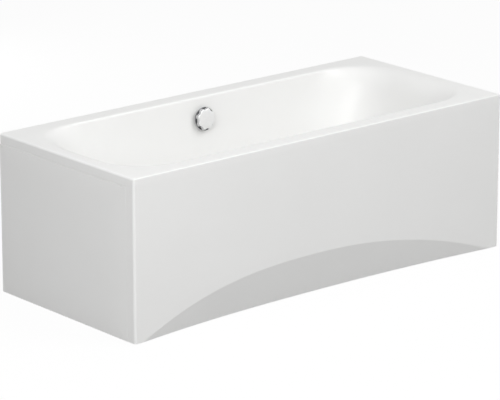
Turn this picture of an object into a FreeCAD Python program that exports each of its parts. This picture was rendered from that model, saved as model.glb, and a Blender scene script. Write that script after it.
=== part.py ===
"""Panelled acrylic bathtub on a steel leg frame, with a turn-knob overflow and pop-up waste.

X runs along the bath, -Y faces the room, Z is up. The origin lies on the floor below the middle of
the rim. All sizes are in millimetres.
"""
import FreeCAD
import Part
import math
import os

V = FreeCAD.Vector
X = V(1, 0, 0)
Y = V(0, 1, 0)
Z = V(0, 0, 1)

# Rim of the shell, its shelf at the ends and the sides, and its lip
LENGTH = 1700.0
WIDTH = 750.0
RIM_HEIGHT = 580.0
RIM_END = 32.0
RIM_SIDE = 63.0
LIP_DEPTH = 35.0
RIM_EDGE_RADIUS = 9.0
CORNER_RADIUS = 12.0
SHELL_WALL = 5.0

# Basin: share of the half width taken by its plan's corners and their squareness, and the edge roll, wall
# slope and floor sweep of its walls
CORNER_SHARE = 0.8
RIM_SQUARENESS = 2.5
FLOOR_SQUARENESS = 2.2
EDGE_BREAK = 6.0
END_ROLL = 110.0
END_SLOPE = 24.0
END_SWEEP = 140.0
SIDE_ROLL = 9.0
SIDE_SLOPE = 7.0
SIDE_SWEEP = 110.0
SECTION_POINTS = 64
END_PART = 0.125
SIDE_PART = 0.25

# Panels: sheet, joint gaps, front returns, toe recess arch and end tray
PANEL_WALL = 4.5
PANEL_GAP = 0.4
FLOOR_GAP = 3.0
FRONT_RETURN = 42.0
ARCH_RISE = 158.0
ARCH_CENTRE = -45.0
ARCH_LEFT_END = 30.0
ARCH_RIGHT_END = 43.0
ARCH_LEFT_POWER = 2.5
ARCH_RIGHT_POWER = 2.1
RECESS_SLOPE = 0.285
END_FLANGE = 28.0
END_EDGE_RADIUS = 8.0
END_TOP_GAP = 2.0
END_BACK_GAP = 1.0

# Wooden carriers bonded to the shell and panels
BOARD_END_MARGIN = 25.0
BOARD_SIDE_MARGIN = 21.0
BOARD_THICKNESS = 18.0
BOARD_CORNER = 40.0
BOARD_NOTCH_GAP = 14.0
BATTEN_HEIGHT = 26.0
SIDE_BATTEN_INSET = 290.0
SIDE_BATTEN_GAP = 20.0
END_BATTEN_INSET = 155.0
END_BATTEN_GAP = 7.0
BLOCK_LENGTH = 60.0
BLOCK_HEIGHT = 45.0
BLOCK_RISE = 20.0
BLOCK_THICKNESS = 9.0

# Leg bars and feet
LEG_INSET = 60.0
LEG_SETBACK = 65.0
LEG_WIDTH = 40.0
LEG_HEIGHT = 25.0
LEG_SHEET = 2.0
FOOT_INSET = 65.0
STUD_RADIUS = 5.0
STUD_ABOVE_NUT = 30.0
STUD_HOLE_PLAY = 0.5
NUT_FLATS = 17.0
NUT_HEIGHT = 8.0
COLLAR_GAP = 4.0
COLLAR_HEIGHT = 8.0
PAD_RADIUS = 27.0
PAD_HEIGHT = 15.0
PAD_RIM = 5.0
SOCKET_DEPTH = 7.0
RUNNING_CLEARANCE = 0.05
SEAT_GAP = 0.3

# Fixings
SCREW_RADIUS = 2.0
SCREW_HEAD_RADIUS = 4.2
SCREW_HEAD = 2.2
SCREW_LENGTH = 15.0
BLOCK_SCREW_LENGTH = 8.0
LEG_SCREW_INSET = 35.0
CLIP_SHEET = 1.5
CLIP_WIDTH = 30.0
CLIP_REACH = 13.0
CLIP_PLAY = 2.5
FRONT_CLIP_INSET = 80.0
END_CLIP_INSET = 70.0
BRACKET_SHEET = 3.0
BRACKET_WIDTH = 30.0
BRACKET_LAP = 30.0
STAY_GAP = 25.0
BOLT_RADIUS = 3.0
BOLT_FLATS = 10.0
BOLT_HEAD = 4.0

# Waste in the floor
DRAIN_X = -2.5
DRAIN_INSET = 48.0
WASTE_HOLE_PLAY = 1.5
FLANGE_LIP = 5.0
FLANGE_HEIGHT = 2.5
SLEEVE_RADIUS = 24.5
SLEEVE_WALL = 2.5
SLEEVE_THREAD = 8.5
UPPER_GASKET = 1.5
LOWER_GASKET = 3.0
BODY_FLANGE_LIP = 4.0
BODY_FLANGE = 4.0
BOWL_RADIUS = 40.0
BOWL_HEIGHT = 54.0
PLASTIC_WALL = 3.5
TAIL_RADIUS = 20.0
TAIL_WALL = 2.5
TAIL_LENGTH = 20.0
INLET_RISE = 22.0
INLET_SPIGOT = 22.0
PIN_RADIUS = 3.0
LEVER_RISE = 12.2
LEVER_ARM = 24.0
LEVER_THICKNESS = 4.0
LEVER_WIDTH = 8.0
LEVER_SHAFT = 2.5
PLUG_LIP = 2.0
PLUG_CAP = 3.0
PLUG_DOME = 2.0
PLUG_STEM_RADIUS = 7.0
PLUG_STEM = 16.0
SEAL_LIP = 3.5
SEAL_THICKNESS = 2.0

# Trap and outlet
TRAP_CLEARANCE = 8.0
TRAP_BEND = 30.0
TRAP_NECK = 6.0
TRAP_FLOOR_RUN = 20.0
TRAP_HEADROOM = 7.0
TRAP_LEAD = 30.0
OUTLET_FREE = 80.0
STOP_RING = 3.0
STOP_RING_RISE = 2.0
PIPE_NUT_WALL = 5.0
PIPE_NUT_LENGTH = 20.0
NUT_RIBS = 12

# Overflow on the back wall
OVERFLOW_DROP = 80.0
OVERFLOW_SEAT_RISE = 0.5
OVERFLOW_SEAT_LIP = 2.0
OVERFLOW_HOLE_PLAY = 1.0
ROSETTE_RADIUS = 35.0
ROSETTE_THICKNESS = 5.0
ROSETTE_SLEEVE = 20.0
ROSETTE_WALL = 2.5
ROSETTE_THREAD = 12.0
HUB_RADIUS = 8.0
SPOKE_WIDTH = 4.0
SPOKE_DEPTH = 5.0
OVERFLOW_GASKET = 3.0
OVERFLOW_FLANGE_LIP = 5.0
OVERFLOW_FLANGE = 4.0
CUP_RADIUS = 31.0
CUP_DEPTH = 40.0
SPINDLE_RADIUS = 4.0
CRANK_LENGTH = 19.0
CRANK_THICKNESS = 4.0
KNOB_RADIUS = 43.0
KNOB_HEIGHT = 20.0
KNOB_GAP = 3.0
KNOB_BASE = 5.0
KNOB_WALL = 3.5
KNOB_SCALLOPS = 8
SCALLOP_RADIUS = 18.0
SCALLOP_DEPTH = 5.0
SCALLOP_PHASE = 2.0
PIPE_RADIUS = 16.0
PIPE_WALL = 2.5
PIPE_BEND = 40.0
SPIGOT_LENGTH = 62.0
CABLE_RADIUS = 3.0
CABLE_GAP = 2.0
CABLE_BEND = 45.0
CABLE_BOSS_RADIUS = 6.0
CABLE_BOSS_LENGTH = 26.0
CABLE_CLIP_WALL = 2.5
CABLE_CLIP_WIDTH = 10.0
CABLE_CLIPS = 2

# Heights: the trap stands clear of the ground, the waste stands on the trap and carries the floor's level
TRAP_LOW = TRAP_CLEARANCE + TAIL_RADIUS
TAIL_END = TRAP_LOW + TRAP_BEND + TRAP_NECK
BOWL_BOTTOM = TAIL_END + TAIL_LENGTH
BODY_TOP = BOWL_BOTTOM + BOWL_HEIGHT + BODY_FLANGE
FLOOR_UNDERSIDE = BODY_TOP + LOWER_GASKET
FLOOR_TOP = FLOOR_UNDERSIDE + SHELL_WALL
BASIN_DEPTH = RIM_HEIGHT - FLOOR_TOP
BOARD_BOTTOM = FLOOR_UNDERSIDE - BOARD_THICKNESS
TRAP_CREST = BOARD_BOTTOM - TRAP_HEADROOM - TAIL_RADIUS
FLANGE_SEAT = FLOOR_TOP + UPPER_GASKET
FLANGE_TOP = FLANGE_SEAT + FLANGE_HEIGHT
SLEEVE_BOTTOM = BODY_TOP - SLEEVE_THREAD
INLET_Z = BOWL_BOTTOM + INLET_RISE
LEVER_Z = BOWL_BOTTOM + PLASTIC_WALL + LEVER_RISE
PIN_FOOT = LEVER_Z + LEVER_THICKNESS / 2 + SEAT_GAP
STUD_TOP = BOARD_BOTTOM + NUT_HEIGHT + STUD_ABOVE_NUT
COLLAR_BASE = PAD_HEIGHT + COLLAR_GAP
BLOCK_BASE = BOARD_BOTTOM + BRACKET_SHEET + BLOCK_RISE
LIP_BOTTOM = RIM_HEIGHT - LIP_DEPTH
RIM_UNDERSIDE = RIM_HEIGHT - SHELL_WALL
BATTEN_BOTTOM = RIM_UNDERSIDE - BATTEN_HEIGHT
FRONT_TOP = LIP_BOTTOM - PANEL_GAP
END_TOP = LIP_BOTTOM - END_TOP_GAP
OVERFLOW_Z = RIM_HEIGHT - OVERFLOW_DROP


def floor_inset(roll, slope, sweep):
    """Distance from the edge of the basin's opening to the edge of its flat floor, across one wall."""
    start = math.radians(EDGE_BREAK)
    turn = math.radians(90 - slope)
    run = BASIN_DEPTH - sweep + sweep * math.cos(turn) - roll * math.cos(start) + roll * math.cos(turn)
    return (roll + sweep) * math.sin(turn) - roll * math.sin(start) + run / math.tan(turn)


# Plan: faces, basin, flat floor and what is centred under it
FRONT_FACE = -WIDTH / 2
LEFT_FACE = -LENGTH / 2
BASIN_LENGTH = LENGTH - 2 * RIM_END
BASIN_WIDTH = WIDTH - 2 * RIM_SIDE
FLOOR_LENGTH = BASIN_LENGTH - 2 * floor_inset(END_ROLL, END_SLOPE, END_SWEEP)
FLOOR_WIDTH = BASIN_WIDTH - 2 * floor_inset(SIDE_ROLL, SIDE_SLOPE, SIDE_SWEEP)
BOARD_LENGTH = FLOOR_LENGTH - 2 * BOARD_END_MARGIN
BOARD_WIDTH = FLOOR_WIDTH - 2 * BOARD_SIDE_MARGIN
SIDE_BATTEN_LENGTH = LENGTH - 2 * SIDE_BATTEN_INSET
SIDE_BATTEN_WIDTH = RIM_SIDE - SHELL_WALL - SIDE_BATTEN_GAP
END_BATTEN_LENGTH = WIDTH - 2 * END_BATTEN_INSET
END_BATTEN_WIDTH = RIM_END - SHELL_WALL - END_BATTEN_GAP
LEG_SPACING = BOARD_LENGTH - 2 * LEG_INSET
LEG_LENGTH = WIDTH - 2 * LEG_SETBACK
FOOT_SPACING = LEG_LENGTH - 2 * FOOT_INSET
LEG_SCREW_PITCH = (BOARD_WIDTH - 2 * LEG_SCREW_INSET) / 3
FRONT_CLIP_PITCH = SIDE_BATTEN_LENGTH / 2 - FRONT_CLIP_INSET
END_CLIP_PITCH = END_BATTEN_LENGTH - 2 * END_CLIP_INSET
STAY_SPACING = BOARD_WIDTH + 2 * STAY_GAP + BRACKET_WIDTH
ARCH_LEFT = LENGTH / 2 + ARCH_CENTRE - ARCH_LEFT_END
ARCH_RIGHT = LENGTH / 2 - ARCH_CENTRE - ARCH_RIGHT_END
DRAIN_Y = FLOOR_WIDTH / 2 - DRAIN_INSET
DRAIN = V(DRAIN_X, DRAIN_Y, FLOOR_TOP)

# Round fits that follow one another outwards from the sleeves and pipes
WASTE_HOLE = SLEEVE_RADIUS + WASTE_HOLE_PLAY
SEAL_OUTER = SLEEVE_RADIUS + SEAL_LIP
PLUG_RADIUS = SEAL_OUTER + PLUG_LIP
FLANGE_RADIUS = PLUG_RADIUS + FLANGE_LIP
BODY_FLANGE_RADIUS = BOWL_RADIUS + BODY_FLANGE_LIP
BOARD_NOTCH = BODY_FLANGE_RADIUS + BOARD_NOTCH_GAP
INLET_REACH = BOWL_RADIUS + INLET_SPIGOT
CABLE_OFFSET = CUP_RADIUS + CABLE_GAP
OUTLET_START = PIPE_NUT_LENGTH / 2 + STOP_RING
OVERFLOW_HOLE = ROSETTE_SLEEVE + OVERFLOW_HOLE_PLAY
OVERFLOW_FLANGE_RADIUS = CUP_RADIUS + OVERFLOW_FLANGE_LIP
OVERFLOW_SEAT_RADIUS = OVERFLOW_FLANGE_RADIUS + OVERFLOW_SEAT_LIP
OVERFLOW_WALL = SHELL_WALL + 2 * OVERFLOW_SEAT_RISE
ROSETTE_DROP = OVERFLOW_WALL + OVERFLOW_GASKET + ROSETTE_THREAD

def box(x0, x1, y0, y1, z0, z1):
    """Block between two corners."""
    return Part.makeBox(x1 - x0, y1 - y0, z1 - z0, V(x0, y0, z0))


def rod(radius, start, axis, length):
    """Round bar from a start point along an axis."""
    return Part.makeCylinder(radius, length, start, axis)


def ring(outer, inner, start, axis, length):
    """Round tube from a start point along an axis."""
    return rod(outer, start, axis, length).cut(rod(inner, start, axis, length))


def hexagon(flats, start, axis, length):
    """Six-sided bar, its size measured across the flats."""
    reach = flats / math.sqrt(3)
    turns = [math.radians(60 * k) for k in range(7)]
    corners = [V(reach * math.cos(turn), reach * math.sin(turn), 0) for turn in turns]
    bar = Part.Face(Part.makePolygon(corners)).extrude(V(0, 0, length))
    bar.Placement = FreeCAD.Placement(start, FreeCAD.Rotation(Z, axis))
    return bar


def turned(profile, centre):
    """Solid of revolution about a vertical axis from (radius, height) corners."""
    corners = [centre + V(r, 0, h) for r, h in profile]
    return Part.Face(Part.makePolygon(corners + corners[:1])).revolve(centre, Z, 360)


def moved(shape, offset):
    """Copy of a shape, shifted."""
    copy = shape.copy()
    copy.translate(offset)
    return copy


def swept_tube(path, radius, wall):
    """Pipe of a given outer radius and wall along a path of tangent lines and arcs."""
    start = path.Edges[0].valueAt(path.Edges[0].FirstParameter)
    heading = path.Edges[0].tangentAt(path.Edges[0].FirstParameter)
    tubes = []
    for r in (radius, radius - wall):
        if r > 0:
            tubes.append(path.makePipeShell([Part.Wire(Part.makeCircle(r, start, heading))], True, False))
    return tubes[0].cut(tubes[1]) if len(tubes) > 1 else tubes[0]


def bent_path(points, bend):
    """Wire through corner points with every inner corner rounded to one bend radius."""
    edges = []
    last = points[0]
    for before, corner, after in zip(points, points[1:], points[2:]):
        way_in = (corner - before).normalize()
        way_out = (after - corner).normalize()
        setback = bend * math.tan(way_in.getAngle(way_out) / 2)
        first = corner - way_in * setback
        second = corner + way_out * setback
        centre_side = (way_out - way_in).normalize()
        middle = corner + centre_side * (math.hypot(bend, setback) - bend)
        edges.append(Part.makeLine(last, first))
        edges.append(Part.Arc(first, middle, second).toShape())
        last = second
    edges.append(Part.makeLine(last, points[-1]))
    return Part.Wire(edges)


def coupling_nut(inner, start, axis, length):
    """Ribbed plastic pipe nut: a tube with round finger ribs."""
    outer = inner + PIPE_NUT_WALL
    nut = rod(outer - 1.0, start, axis, length)
    side = axis.cross(V(0.3, 0.5, 0.8)).normalize()
    other = axis.cross(side)
    for k in range(NUT_RIBS):
        turn = 2 * math.pi * k / NUT_RIBS
        place = start + side * ((outer - 1.5) * math.cos(turn)) + other * ((outer - 1.5) * math.sin(turn))
        nut = nut.fuse(rod(1.5, place, axis, length))
    return nut.cut(rod(inner, start, axis, length))


def wall_inset(depth, skin, roll, slope, sweep):
    """Distance of a basin wall inside the opening at a depth below the rim.

    The wall section is an arc rolling off the rim, a straight sloped run and an arc sweeping into the
    floor. A skin of 0 is the face seen from above, the shell wall is its underside.
    """
    start = math.radians(EDGE_BREAK)
    turn = math.radians(90 - slope)
    roll_across = -roll * math.sin(start)
    roll_down = roll * math.cos(start)
    roll_end = roll_down - (roll - skin) * math.cos(turn)
    sweep_down = BASIN_DEPTH - sweep
    sweep_start = sweep_down + (sweep + skin) * math.cos(turn)
    if depth < roll_down - (roll - skin) * math.cos(start):
        edge_depth = roll_down - (roll - skin) * math.cos(start)
        return roll_across + (roll - skin) * math.sin(start) + (depth - edge_depth) / math.tan(start)
    if depth < roll_end:
        return roll_across + math.sqrt((roll - skin) ** 2 - (roll_down - depth) ** 2)
    if depth < sweep_start:
        return roll_across + (roll - skin) * math.sin(turn) + (depth - roll_end) / math.tan(turn)
    rest = (sweep + skin) ** 2 - (depth - sweep_down) ** 2
    return floor_inset(roll, slope, sweep) - math.sqrt(max(rest, 0.0))


def quarter_point(share, half_length, half_width, power):
    """Point on the first quarter of the basin's plan, from the middle of the end to the middle of the side.

    A straight half end, a soft corner that reaches equally far along both, and a straight half side.
    """
    reach = CORNER_SHARE * half_width
    if share < END_PART:
        return half_length, (half_width - reach) * share / END_PART
    if share > 1 - SIDE_PART:
        return (half_length - reach) * (1 - share) / SIDE_PART, half_width
    turn = math.pi / 2 * (share - END_PART) / (1 - SIDE_PART - END_PART)
    x = half_length - reach + reach * abs(math.cos(turn)) ** (2 / power)
    y = half_width - reach + reach * abs(math.sin(turn)) ** (2 / power)
    return x, y


def basin_section(depth, skin):
    """Closed plan curve of the basin at a depth: a rounded oblong that grows rounder towards the floor."""
    half_length = BASIN_LENGTH / 2 - wall_inset(depth, skin, END_ROLL, END_SLOPE, END_SWEEP)
    half_width = BASIN_WIDTH / 2 - wall_inset(depth, skin, SIDE_ROLL, SIDE_SLOPE, SIDE_SWEEP)
    share = min(max(depth / BASIN_DEPTH, 0.0), 1.0)
    power = RIM_SQUARENESS + (FLOOR_SQUARENESS - RIM_SQUARENESS) * share
    count = SECTION_POINTS // 4
    quarter = [quarter_point(k / count, half_length, half_width, power) for k in range(count + 1)]
    plan = quarter[:-1]
    plan += [(-x, y) for x, y in quarter[:0:-1]]
    plan += [(-x, -y) for x, y in quarter[:-1]]
    plan += [(x, -y) for x, y in quarter[:0:-1]]
    curve = Part.BSplineCurve()
    curve.interpolate(Points=[V(x, y, RIM_HEIGHT - depth) for x, y in plan], PeriodicFlag=True)
    return Part.Wire(curve.toShape())


def section_depths(skin):
    """Depths of the basin sections: equal turns round the rolls and the sweep, equal steps on the wall."""
    start = math.radians(EDGE_BREAK)
    side_turn = math.radians(90 - SIDE_SLOPE)
    end_turn = math.radians(90 - END_SLOPE)
    depths = [skin * math.cos(start) - 1.0]
    for k in range(1, 5):
        turn = start + (side_turn - start) * k / 4
        depths.append(SIDE_ROLL * math.cos(start) - (SIDE_ROLL - skin) * math.cos(turn))
    for k in range(2, 5):
        turn = start + (end_turn - start) * k / 4
        depths.append(END_ROLL * math.cos(start) - (END_ROLL - skin) * math.cos(turn))
    wall_top = depths[-1]
    wall_end = BASIN_DEPTH - SIDE_SWEEP + (SIDE_SWEEP + skin) * math.cos(side_turn)
    for k in range(1, 3):
        depths.append(wall_top + (wall_end - wall_top) * k / 3)
    for k in range(7):
        turn = side_turn * (1 - k / 6)
        depths.append(BASIN_DEPTH - SIDE_SWEEP + (SIDE_SWEEP + skin) * math.cos(turn))
    return sorted(depths)


def basin_volume(skin):
    """Closed volume inside one face of the basin sheet."""
    return Part.makeLoft([basin_section(depth, skin) for depth in section_depths(skin)], True, False)


def rim_block(inset, top, bottom):
    """Block with the rounded upright corners and top edges of the rim."""
    x = LENGTH / 2 - inset
    y = WIDTH / 2 - inset
    block = box(-x, x, -y, y, bottom, top)
    uprights = [e for e in block.Edges if abs(e.tangentAt(e.FirstParameter).z) > 0.9]
    block = block.makeFillet(CORNER_RADIUS - inset, uprights)
    upper = [e for e in block.Edges if e.BoundBox.ZMin > top - 0.1]
    return block.makeFillet(RIM_EDGE_RADIUS - inset, upper)


def wall_face_y(height):
    """Inner face of the basin's back wall at a height."""
    return BASIN_WIDTH / 2 - wall_inset(RIM_HEIGHT - height, 0.0, SIDE_ROLL, SIDE_SLOPE, SIDE_SWEEP)


OVERFLOW_TURN = FreeCAD.Rotation(X, 90 - SIDE_SLOPE)
OVERFLOW = V(DRAIN_X, wall_face_y(OVERFLOW_Z), OVERFLOW_Z) + OVERFLOW_TURN.multVec(V(0, 0, OVERFLOW_SEAT_RISE))
PIPE_DEPTH = OVERFLOW_WALL + OVERFLOW_GASKET + CUP_DEPTH / 2
PIPE_AXIS = OVERFLOW + OVERFLOW_TURN.multVec(V(0, 0, -PIPE_DEPTH))
SPIGOT_END = PIPE_AXIS.z - SPIGOT_LENGTH


def on_wall(shape):
    """Place a shape drawn on the XY plane onto the overflow's flat seat, its Z along the wall's normal."""
    copy = shape.copy()
    copy.Placement = FreeCAD.Placement(OVERFLOW, OVERFLOW_TURN).multiply(copy.Placement)
    return copy


def tub_shell():
    """Rim tray and basin formed as one sheet, with a flat seat and the holes for the waste and overflow."""
    tray = rim_block(0.0, RIM_HEIGHT, LIP_BOTTOM)
    tray = tray.cut(rim_block(SHELL_WALL, RIM_UNDERSIDE, LIP_BOTTOM - 1.0))
    shell = tray.fuse(basin_volume(SHELL_WALL)).cut(basin_volume(0.0))
    waste = rod(WASTE_HOLE, DRAIN - Z * 2 * SHELL_WALL, Z, 4 * SHELL_WALL)
    seat = on_wall(rod(OVERFLOW_SEAT_RADIUS, V(0, 0, -OVERFLOW_WALL), Z, OVERFLOW_WALL))
    overflow = on_wall(rod(OVERFLOW_HOLE, V(0, 0, -2 * OVERFLOW_WALL), Z, 4 * OVERFLOW_WALL))
    return shell.fuse(seat).cut(waste).cut(overflow)


def arch_height(x):
    """Height of the toe recess arch: a flat-topped power curve, fuller on its left half."""
    if x < ARCH_CENTRE:
        return ARCH_RISE * (1 - ((ARCH_CENTRE - x) / ARCH_LEFT) ** ARCH_LEFT_POWER)
    return ARCH_RISE * (1 - ((x - ARCH_CENTRE) / ARCH_RIGHT) ** ARCH_RIGHT_POWER)


def recess_cutter(setback):
    """Space in front of the toe recess: the arch swept down and inwards, its face set back by a distance."""
    overrun = 1.04
    left = ARCH_CENTRE - ARCH_LEFT * overrun
    right = ARCH_CENTRE + ARCH_RIGHT * overrun
    lead = 20.0
    rise = V(0, -RECESS_SLOPE, 1) * lead
    steps = 24
    points = [left + (right - left) * k / steps for k in range(steps + 1)]
    arch = [V(x, FRONT_FACE + setback, arch_height(x)) + rise for x in points]
    curve = Part.BSplineCurve()
    curve.interpolate(arch)
    below = arch[0].z - lead - ARCH_RISE
    base = [arch[-1], V(right, arch[0].y, below), V(left, arch[0].y, below), arch[0]]
    outline = Part.Wire([curve.toShape()] + Part.makePolygon(base).Edges)
    return Part.Face(outline).extrude(V(0, RECESS_SLOPE, -1) * (ARCH_RISE + 2 * lead))


def front_panel():
    """Formed sheet: flat face, top flange and end returns, its foot drawn back under a long arch."""
    half = LENGTH / 2
    back = FRONT_FACE + FRONT_RETURN
    outer = box(-half, half, FRONT_FACE, back, FLOOR_GAP, FRONT_TOP)
    corners = [e for e in outer.Edges if e.BoundBox.YMax < FRONT_FACE + 0.1 and e.BoundBox.XLength < 0.1]
    outer = outer.makeFillet(CORNER_RADIUS, corners)
    face = FRONT_FACE + PANEL_WALL
    inner = box(PANEL_WALL - half, half - PANEL_WALL, face, back + 1.0, FLOOR_GAP - 1.0, FRONT_TOP - PANEL_WALL)
    corners = [e for e in inner.Edges if e.BoundBox.YMax < face + 0.1 and e.BoundBox.XLength < 0.1]
    corners = [e for e in corners if e.BoundBox.ZLength > 1.0]
    inner = inner.makeFillet(CORNER_RADIUS - PANEL_WALL, corners)
    slant_wall = PANEL_WALL * math.hypot(1.0, RECESS_SLOPE)
    toe = FRONT_FACE + RECESS_SLOPE * ARCH_RISE + slant_wall
    side = half - PANEL_WALL
    outer = outer.fuse(box(-side, side, face, toe, FLOOR_GAP, ARCH_RISE))
    inner = inner.fuse(box(-side, side, back, toe + 1.0, FLOOR_GAP - 1.0, ARCH_RISE + 1.0))
    return outer.cut(recess_cutter(0.0)).cut(inner.cut(recess_cutter(slant_wall)))


def end_tray(inset, depth):
    """Block of the end panel with rounded face edges."""
    y0 = FRONT_FACE + FRONT_RETURN + PANEL_GAP + inset
    y1 = WIDTH / 2 - END_BACK_GAP - inset
    x0 = LEFT_FACE + inset
    block = box(x0, x0 + depth, y0, y1, FLOOR_GAP + inset, END_TOP - inset)
    rails = [e for e in block.Edges if e.BoundBox.XLength > depth - 0.1]
    block = block.makeFillet(END_EDGE_RADIUS - inset, rails)
    face_edges = [e for e in block.Edges if e.BoundBox.XMax < x0 + 0.1]
    return block.makeFillet(END_EDGE_RADIUS - inset, face_edges)


def end_panel():
    """Shallow tray that closes the left end below the lip."""
    return end_tray(0.0, END_FLANGE).cut(end_tray(PANEL_WALL, END_FLANGE))


def floor_board():
    """Board bonded under the basin floor, notched round the waste and drilled for the leg screws."""
    x = BOARD_LENGTH / 2
    y = BOARD_WIDTH / 2
    board = box(-x, x, -y, y, BOARD_BOTTOM, FLOOR_UNDERSIDE)
    uprights = [e for e in board.Edges if e.BoundBox.ZLength > BOARD_THICKNESS - 0.1]
    board = board.makeFillet(BOARD_CORNER, uprights)
    board = board.cut(rod(BOARD_NOTCH, V(DRAIN_X, DRAIN_Y, BOARD_BOTTOM - 1.0), Z, BOARD_THICKNESS + 2.0))
    for place in leg_screw_places():
        board = board.cut(rod(SCREW_RADIUS, place, Z, SCREW_LENGTH))
    return board


def side_batten(side):
    """Wooden strip bonded under the rim behind the lip of a long side."""
    outer = WIDTH / 2 - SHELL_WALL
    edges = sorted((side * outer, side * (outer - SIDE_BATTEN_WIDTH)))
    half = SIDE_BATTEN_LENGTH / 2
    strip = box(-half, half, edges[0], edges[1], BATTEN_BOTTOM, RIM_UNDERSIDE)
    return strip.makeChamfer(RIM_EDGE_RADIUS, [e for e in strip.Edges if rim_corner(e, side * outer, "y")])


def end_batten(side):
    """Wooden strip bonded under the rim behind the lip of an end."""
    outer = LENGTH / 2 - SHELL_WALL
    edges = sorted((side * outer, side * (outer - END_BATTEN_WIDTH)))
    half = END_BATTEN_LENGTH / 2
    strip = box(edges[0], edges[1], -half, half, BATTEN_BOTTOM, RIM_UNDERSIDE)
    return strip.makeChamfer(RIM_EDGE_RADIUS, [e for e in strip.Edges if rim_corner(e, side * outer, "x")])


def rim_corner(edge, place, axis):
    """True for the long upper edge of a batten that lies in the rim's rounded corner."""
    middle = edge.BoundBox.Center
    across = middle.x if axis == "x" else middle.y
    return abs(across - place) < 0.1 and edge.BoundBox.ZMin > RIM_UNDERSIDE - 0.1


def leg_bar(side):
    """Channel across the bath, open below, with holes for two studs, four screws and its bracket bolts."""
    x = side * LEG_SPACING / 2
    half = LEG_LENGTH / 2
    web = BOARD_BOTTOM - LEG_SHEET
    bar = box(x - LEG_WIDTH / 2, x + LEG_WIDTH / 2, -half, half, BOARD_BOTTOM - LEG_HEIGHT, BOARD_BOTTOM)
    bar = bar.cut(box(x - LEG_WIDTH / 2 + LEG_SHEET, x + LEG_WIDTH / 2 - LEG_SHEET, -half - 1.0, half + 1.0,
                      BOARD_BOTTOM - LEG_HEIGHT - 1.0, web))
    for y in (-FOOT_SPACING / 2, FOOT_SPACING / 2):
        bar = bar.cut(rod(STUD_RADIUS + STUD_HOLE_PLAY, V(x, y, web - 1.0), Z, LEG_SHEET + 2.0))
    for place in leg_screw_places() + [p - Z * BRACKET_SHEET for p in bolt_places()]:
        radius = SCREW_RADIUS if place.z > web - 1.0 and abs(place.y) < BOARD_WIDTH / 2 else BOLT_RADIUS
        bar = bar.cut(rod(radius, V(place.x, place.y, web - 1.0), Z, LEG_SHEET + 2.0))
    return bar


def leg_screw_places():
    """Undersides of the leg bar webs where screws go up into the board."""
    places = []
    for side in (-1, 1):
        for step in (-1.5, -0.5, 0.5, 1.5):
            places.append(V(side * LEG_SPACING / 2, step * LEG_SCREW_PITCH, BOARD_BOTTOM - LEG_SHEET))
    return places


def screw(seat, axis, length):
    """Pan-head screw: the head sits behind the seat point, the shank runs along the axis."""
    head = rod(SCREW_HEAD_RADIUS, seat - axis * SCREW_HEAD, axis, SCREW_HEAD)
    return head.fuse(rod(SCREW_RADIUS, seat, axis, length))


def foot_places():
    """Names and plan places of the four feet."""
    places = {}
    for end, x in (("left", -LEG_SPACING / 2), ("right", LEG_SPACING / 2)):
        for row, y in (("front", -FOOT_SPACING / 2), ("back", FOOT_SPACING / 2)):
            places[row + "_" + end] = V(x, y, 0)
    return places


def foot_nut(place):
    """Nut welded on the leg bar's web, the thread of one foot."""
    start = place + Z * BOARD_BOTTOM
    thread = rod(STUD_RADIUS + RUNNING_CLEARANCE, start, Z, NUT_HEIGHT)
    return hexagon(NUT_FLATS, start, Z, NUT_HEIGHT).cut(thread)


def foot_stud(place):
    """Threaded rod with a spanner collar, its end resting in the pad's socket."""
    bottom = PAD_HEIGHT - SOCKET_DEPTH + SEAT_GAP
    stud = rod(STUD_RADIUS, place + Z * bottom, Z, STUD_TOP - bottom)
    stud = stud.makeChamfer(0.8, [e for e in stud.Edges if e.BoundBox.ZMin > STUD_TOP - 0.1])
    return stud.fuse(hexagon(NUT_FLATS, place + Z * COLLAR_BASE, Z, COLLAR_HEIGHT))


def foot_pad(place):
    """Round plastic foot, flared at the floor, with a blind socket for the stud."""
    neck = STUD_RADIUS + 2 * PAD_RIM
    profile = [(0, 0), (PAD_RADIUS, 0), (PAD_RADIUS, PAD_RIM), (neck, PAD_RIM + 3.0)]
    profile += [(neck, PAD_HEIGHT), (0, PAD_HEIGHT)]
    socket = rod(STUD_RADIUS + RUNNING_CLEARANCE, place + Z * (PAD_HEIGHT - SOCKET_DEPTH), Z, SOCKET_DEPTH)
    return turned(profile, place).cut(socket)


def panel_clip(depth, flange_underside, outer):
    """Sheet clip drawn across a panel edge: upper leaf on the batten, lower leaf under the panel flange.

    X runs inwards from the panel's outer face and Y along the panel.
    """
    back = depth + CLIP_PLAY + CLIP_SHEET
    half = CLIP_WIDTH / 2
    upper = box(outer, back, -half, half, BATTEN_BOTTOM - CLIP_SHEET, BATTEN_BOTTOM)
    web = box(back - CLIP_SHEET, back, -half, half, flange_underside - CLIP_SHEET, BATTEN_BOTTOM)
    lower = box(depth - CLIP_REACH, back, -half, half, flange_underside - CLIP_SHEET, flange_underside)
    clip = upper.fuse(web).fuse(lower)
    return clip.cut(rod(SCREW_RADIUS, clip_screw_seat(outer) - Z, Z, CLIP_SHEET + 2.0))


def clip_screw_seat(outer):
    """Underside of a clip's upper leaf where its screw goes through."""
    return V(outer + CLIP_REACH - 3.0, 0, BATTEN_BOTTOM - CLIP_SHEET)


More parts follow.
